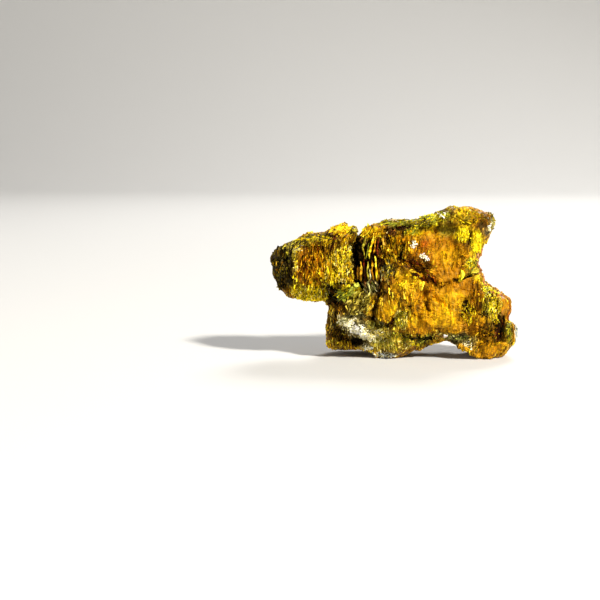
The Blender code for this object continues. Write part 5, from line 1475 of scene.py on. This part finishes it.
def chipMesh(name, ring, thick, proud, kind, tones):
    # rings of the outline, widest halfway through, closed by a peak in front and a point behind
    look = chipLook
    rng = np.random.default_rng(len(name))  # the name's length is the seed
    ring = np.array(ring)
    middleX, middleZ = ring.mean(0)
    front = frontPoints[frontAt([middleX], [middleZ])[0], 1] - proud
    depth, share, shift = np.array(look["layers"]).T[:, :, None]
    along = np.linspace(0, 1, look["sides"], endpoint=False)[None, :, None]
    fine = (ring[:, None] * (1 - along) + np.roll(ring, -1, 0)[:, None] * along).reshape(-1, 2)
    fine += look["jitter"] * rng.normal(size=fine.shape)
    count, layers = len(fine), len(depth)
    x = middleX + (fine[:, 0] - middleX) * share
    z = middleZ + (fine[:, 1] - middleZ) * share
    y = front + depth * thick + look["jitter"] * rng.normal(size=x.shape)
    # painted shade: each layer further back is darker
    tone = np.repeat(tones, look["sides"]) + shift + look["toneJitter"] * rng.normal(size=x.shape)
    ends = [(middleX, front - look["peak"], middleZ), (middleX, front + thick, middleZ)]
    points = np.concatenate([np.stack([x, y, z], axis=-1).reshape(-1, 3), ends])
    tint = np.concatenate([readTone(kind, tone), readTone(kind, look["endTones"])])
    quads = wallQuads(count * np.arange(layers - 1)[:, None], count)
    here = np.arange(count)
    ahead = (here + 1) % count
    last, peak = (layers - 1) * count, layers * count
    tris = np.concatenate([
        np.stack([ahead, here, np.full(count, peak)], axis=-1),
        np.stack([last + here, last + ahead, np.full(count, peak + 1)], axis=-1),
    ])
    gloss, grit = np.full(len(points), look["gloss"]), np.full(len(points), look["grit"])
    return makeMesh(name, points, quads, tris, tint, gloss, grit)


for name, values in chips.items():
    place(chipMesh(name, *values), orpimentMaterial)
print("stage: chips,", len(chips), "of them")

# angular grains: an icosahedron stretched, turned and dented at random
goldenRatio = (1 + math.sqrt(5)) / 2
icoPoints = np.array([
    (-1, goldenRatio, 0), (1, goldenRatio, 0), (-1, -goldenRatio, 0), (1, -goldenRatio, 0),
    (0, -1, goldenRatio), (0, 1, goldenRatio), (0, -1, -goldenRatio), (0, 1, -goldenRatio),
    (goldenRatio, 0, -1), (goldenRatio, 0, 1), (-goldenRatio, 0, -1), (-goldenRatio, 0, 1),
]) / math.hypot(1, goldenRatio)
icoTris = np.array([
    (0, 11, 5), (0, 5, 1), (0, 1, 7), (0, 7, 10), (0, 10, 11), (1, 5, 9), (5, 11, 4), (11, 10, 2), (10, 7, 6),
    (7, 1, 8), (3, 9, 4), (3, 4, 2), (3, 2, 6), (3, 6, 8), (3, 8, 9), (4, 9, 5), (2, 4, 11), (6, 2, 10),
    (8, 6, 7), (9, 8, 1),
])
# fields of grains: the place X, Z and its reach, how many, their sizes, kinds, tones, flatness and how far
# they stand out
grainFields = {
    "whiteGrains": {
        "upper": (7.9, 45.3, 0.9, 1.3, 30, (0.35, 0.8), "white cream", (0.5, 1), 0.95, 0.45),
        "lower": (11.4, 41, 1.5, 0.8, 46, (0.4, 0.9), "white cream", (0.5, 1), 0.95, 0.5),
        "lower, right": (13.2, 39.6, 0.9, 0.8, 20, (0.35, 0.8), "white cream", (0.5, 1), 0.95, 0.45),
        "by the arch": (20.3, 9.6, 0.8, 0.6, 12, (0.6, 1.1), "white terracotta", (0.75, 1), 0.9, 0.3),
        "crest": (19, 56.6, 1.7, 1.2, 26, (0.35, 0.8), "white cream", (0.5, 1), 0.9, 0.3),
        "under the horn's tip": (37.4, 51.6, 0.8, 1.6, 26, (0.4, 0.8), "white cream", (0.5, 1), 0.9, 0.4),
    },
    "chalkCrust": {
        "left": (-19.2, 15.6, 2.4, 1.2, 130, (0.3, 0.9), "cream greyGreen", (0.4, 1), 0.5, 0.3),
        "upper middle": (-17, 14.4, 2.2, 1.3, 160, (0.25, 0.8), "cream white", (0.6, 1), 0.55, 0.4),
        "middle": (-14, 12, 2.6, 1.8, 320, (0.25, 0.8), "cream white white", (0.6, 1), 0.55, 0.4),
        "right": (-10.6, 9.2, 2.6, 1.8, 300, (0.25, 0.8), "cream straw white", (0.6, 1), 0.55, 0.4),
        "beyond": (-6.2, 10.2, 3.6, 2.4, 260, (0.2, 0.55), "cream straw straw", (0.5, 1), 0.5, 0.25),
        "end": (-5.5, 7.6, 2.6, 0.9, 60, (0.2, 0.5), "cream green", (0.4, 0.9), 0.5, 0.25),
        "crumbs": (-3.6, 1.2, 4.4, 0.8, 110, (0.25, 0.7), "iceBlue iceBlue cream", (0.4, 1), 0.6, 0.2),
        "crumbs, left": (-9.5, 4.2, 2.2, 0.8, 60, (0.25, 0.7), "iceBlue cream", (0.5, 1), 0.6, 0.2),
        "by the foot": (29, 6.2, 1.4, 0.8, 30, (0.25, 0.6), "cream", (0.6, 1), 0.6, 0.2),
        "over the arch": (25, 9, 4.2, 1, 40, (0.2, 0.5), "greyGreen khaki", (0.3, 0.8), 0.6, 0.1),
    },
    "yellowGrains": {
        "right lobe": (39, 22.4, 2.4, 4.6, 170, (0.35, 0.95), "lemon lemon olive", (0.4, 1), 0.8, 0.1),
        "bay's lower side": (36.4, 27.4, 2, 2.4, 60, (0.35, 0.9), "lemon green", (0.5, 1), 0.8, 0.1),
        "pit": (28.6, 19.6, 2.2, 3.4, 60, (0.4, 0.9), "lemon olive khaki", (0.2, 0.95), 0.8, 0.1),
        "bay": (30.4, 38.4, 2.4, 2, 50, (0.4, 1), "lemon green", (0.4, 0.95), 0.8, 0.1),
        "lemon patch, left": (27.2, 49.2, 2.3, 2.5, 90, (0.4, 1), "lemon", (0.5, 1), 0.7, 0.1),
        "lemon patch, right": (32.4, 46.4, 2.2, 4.2, 140, (0.4, 1.1), "lemon", (0.5, 1), 0.7, 0.1),
        "lump": (-15.6, 50.4, 1, 0.9, 14, (0.7, 1.3), "olive khaki", (0.4, 0.8), 0.9, 0.5),
        "patch under the lobe": (3.4, 17, 2.4, 3, 90, (0.3, 0.7), "straw lemon", (0.5, 1), 0.7, 0.3),
        "crest flecks": (14, 56, 6, 1.4, 50, (0.25, 0.6), "cream lemon", (0.5, 1), 0.7, 0.1),
    },
}
grainLook = {
    # the stretch along X, Y and Z, each corner's dent, and the patch of the map that each face has
    "stretch": (0.7, 1.25), "dent": (0.82, 1.15), "gloss": (0.2, 1.0), "grit": 0.35,
    "mapRow": 5, "mapPatch": ((0.02, 0.02), (0.17, 0.02), (0.1, 0.2)),
}


def randomTurns(rng, count):
    # rotation matrices of random unit quaternions
    drawn = rng.normal(size=(4, count))
    w, x, y, z = drawn / np.linalg.norm(drawn, axis=0)
    return np.stack([
        1 - 2 * (y * y + z * z), 2 * (x * y - z * w), 2 * (x * z + y * w),
        2 * (x * y + z * w), 1 - 2 * (x * x + z * z), 2 * (y * z - x * w),
        2 * (x * z - y * w), 2 * (y * z + x * w), 1 - 2 * (x * x + y * y),
    ], axis=-1).reshape(count, 3, 3)


def grainField(name, clusters, seed):
    # grain = place on the skin + way * standing out + the stretched, dented, turned icosahedron, flattened
    # along the way out
    look = grainLook
    rng = np.random.default_rng(seed)
    corners, faces = len(icoPoints), len(icoTris)
    bodies, tints = [], []
    for *patch, count, size, kindsHere, tone, flat, proud in clusters.values():
        near = frontAt(*inEllipse(rng, *patch, count))
        ways = frontWays[near][:, None]
        stretched = icoPoints * rng.uniform(*look["stretch"], (count, 1, 3))
        dented = stretched * rng.uniform(*look["dent"], (count, corners, 1))
        shape = dented @ randomTurns(rng, count) * 0.5 * rng.uniform(*size, (count, 1, 1))
        shape -= ways * np.sum(shape * ways, axis=2, keepdims=True) * (1 - flat)
        bodies.append(frontPoints[near][:, None] + ways * proud + shape)
        tints.append(toneColours(drawnKinds(rng, kindsHere, count), rng.uniform(*tone, count)))
    points = insideBox(np.concatenate(bodies).reshape(-1, 3))
    tint = np.repeat(np.concatenate(tints), corners, axis=0)
    count = len(points) // corners
    tris = (corners * np.arange(count)[:, None, None] + icoTris).reshape(-1, 3)
    # every grain has its own square of the map, and every face a patch of it
    squares, side = mapSquares(count)
    face = np.arange(faces)
    row = look["mapRow"]
    slot = np.stack([face % row / row, face // row / (faces / row)], axis=-1)[None, :, None]
    uv = ((squares[:, None, None] + slot + np.array(look["mapPatch"])) / side).reshape(-1, 2)
    gloss = np.repeat(rng.uniform(*look["gloss"], count), corners)
    return makeMesh(name, points, (), tris, tint, gloss, np.full(len(points), look["grit"]), uv)


for seed, (name, clusters) in enumerate(grainFields.items(), start=200):
    chalky = name != "yellowGrains"
    field = grainField(name, clusters, seed)
    place(field, calciteMaterial if chalky else orpimentMaterial)
    print("stage:", name, len(field.data.polygons), "faces")

# the floor, the backdrop and the lights, in metres
studio = {
    "floorTint": (0.62, 0.61, 0.59, 1.0), "floorRoughness": 0.85, "floorWidth": 7.0, "floorDepth": 3.0,
    "sweep": 0.6, "sweepSteps": 24, "height": 3.0, "worldTint": (1.0, 1.0, 1.0, 1.0), "worldStrength": 0.16,
    # each light's place, width, power and tint, and the place that they all face
    "lights": {
        "key": ((1.10, -1.00, 1.25), 0.24, 68.0, (1.0, 0.97, 0.91)),
        "fill": ((-1.40, -1.20, 0.70), 1.20, 5.0, (0.98, 0.98, 1.0)),
        "rear": ((0.40, 1.30, 1.20), 0.70, 22.0, (1.0, 1.0, 1.0)),
    },
    "aim": (0.0, 0.0, 0.03),
}


def studioMaterial():
    material = bpy.data.materials.new("paleFloor")
    material.use_nodes = True
    shader = material.node_tree.nodes["Principled BSDF"]
    shader.inputs["Base Color"].default_value = studio["floorTint"]
    shader.inputs["Roughness"].default_value = studio["floorRoughness"]
    return material


def floorAndBackdrop():
    # one sheet: flat under the stone, then a quarter round up into the backdrop
    steps, sweep, depth = studio["sweepSteps"], studio["sweep"], studio["floorDepth"]
    turns = [0.5 * math.pi * k / steps for k in range(steps + 1)]
    curve = [(depth / 2 + sweep * math.sin(turn), sweep * (1 - math.cos(turn))) for turn in turns]
    profile = [(-depth, 0.0), *curve, (depth / 2 + sweep, studio["height"])]
    half = studio["floorWidth"] / 2
    points = [(side, y, z) for y, z in profile for side in (-half, half)]
    faces = [(2 * k, 2 * k + 1, 2 * k + 3, 2 * k + 2) for k in range(len(profile) - 1)]
    mesh = bpy.data.meshes.new("studioFloor")
    mesh.from_pydata(points, [], faces)
    mesh.polygons.foreach_set("use_smooth", [True] * len(faces))
    mesh.materials.append(studioMaterial())
    obj = bpy.data.objects.new("studioFloor", mesh)
    bpy.context.scene.collection.objects.link(obj)


def studioLights():
    for name, (spot, size, power, tint) in studio["lights"].items():
        lamp = bpy.data.lights.new(name, "AREA")
        lamp.shape = "DISK"
        lamp.size = size
        lamp.energy = power
        lamp.color = tint
        obj = bpy.data.objects.new(name, lamp)
        obj.location = spot
        obj.rotation_euler = (Vector(studio["aim"]) - Vector(spot)).to_track_quat("-Z", "Y").to_euler()
        bpy.context.scene.collection.objects.link(obj)
    world = bpy.data.worlds.new("studio")
    world.use_nodes = True
    world.node_tree.nodes["Background"].inputs["Color"].default_value = studio["worldTint"]
    world.node_tree.nodes["Background"].inputs["Strength"].default_value = studio["worldStrength"]
    bpy.context.scene.world = world


# the view: the stone stands right of the middle and is seen from a little above
camera = {
    "lens": 85.0, "sensor": 36.0, "pixels": 600, "target": (1.2, -0.5, 30.0), "distance": 567.0,
    "elevation": 6.0, "targetPixel": (397, 280),
}


def viewCamera():
    # aimed at the target, then turned until the target falls on its pixel
    target = Vector(camera["target"]) * mm
    tilt = math.radians(camera["elevation"])
    lens = bpy.data.cameras.new("viewCamera")
    lens.lens = camera["lens"]
    lens.sensor_width = camera["sensor"]
    eye = bpy.data.objects.new("viewCamera", lens)
    eye.location = target + Vector((0, -math.cos(tilt), math.sin(tilt))) * camera["distance"] * mm
    focal = camera["lens"] / camera["sensor"] * camera["pixels"]
    middle = camera["pixels"] / 2
    yaw = math.atan((camera["targetPixel"][0] - middle) / focal)
    pitch = math.atan((middle - camera["targetPixel"][1]) / focal)
    straight = (target - eye.location).to_track_quat("-Z", "Y")
    eye.rotation_mode = "QUATERNION"
    eye.rotation_quaternion = Quaternion((0, 0, 1), yaw) @ straight @ Quaternion((1, 0, 0), -pitch)
    bpy.context.scene.collection.objects.link(eye)
    bpy.context.scene.camera = eye


floorAndBackdrop()
studioLights()
viewCamera()
bpy.context.scene.view_settings.view_transform = "Standard"
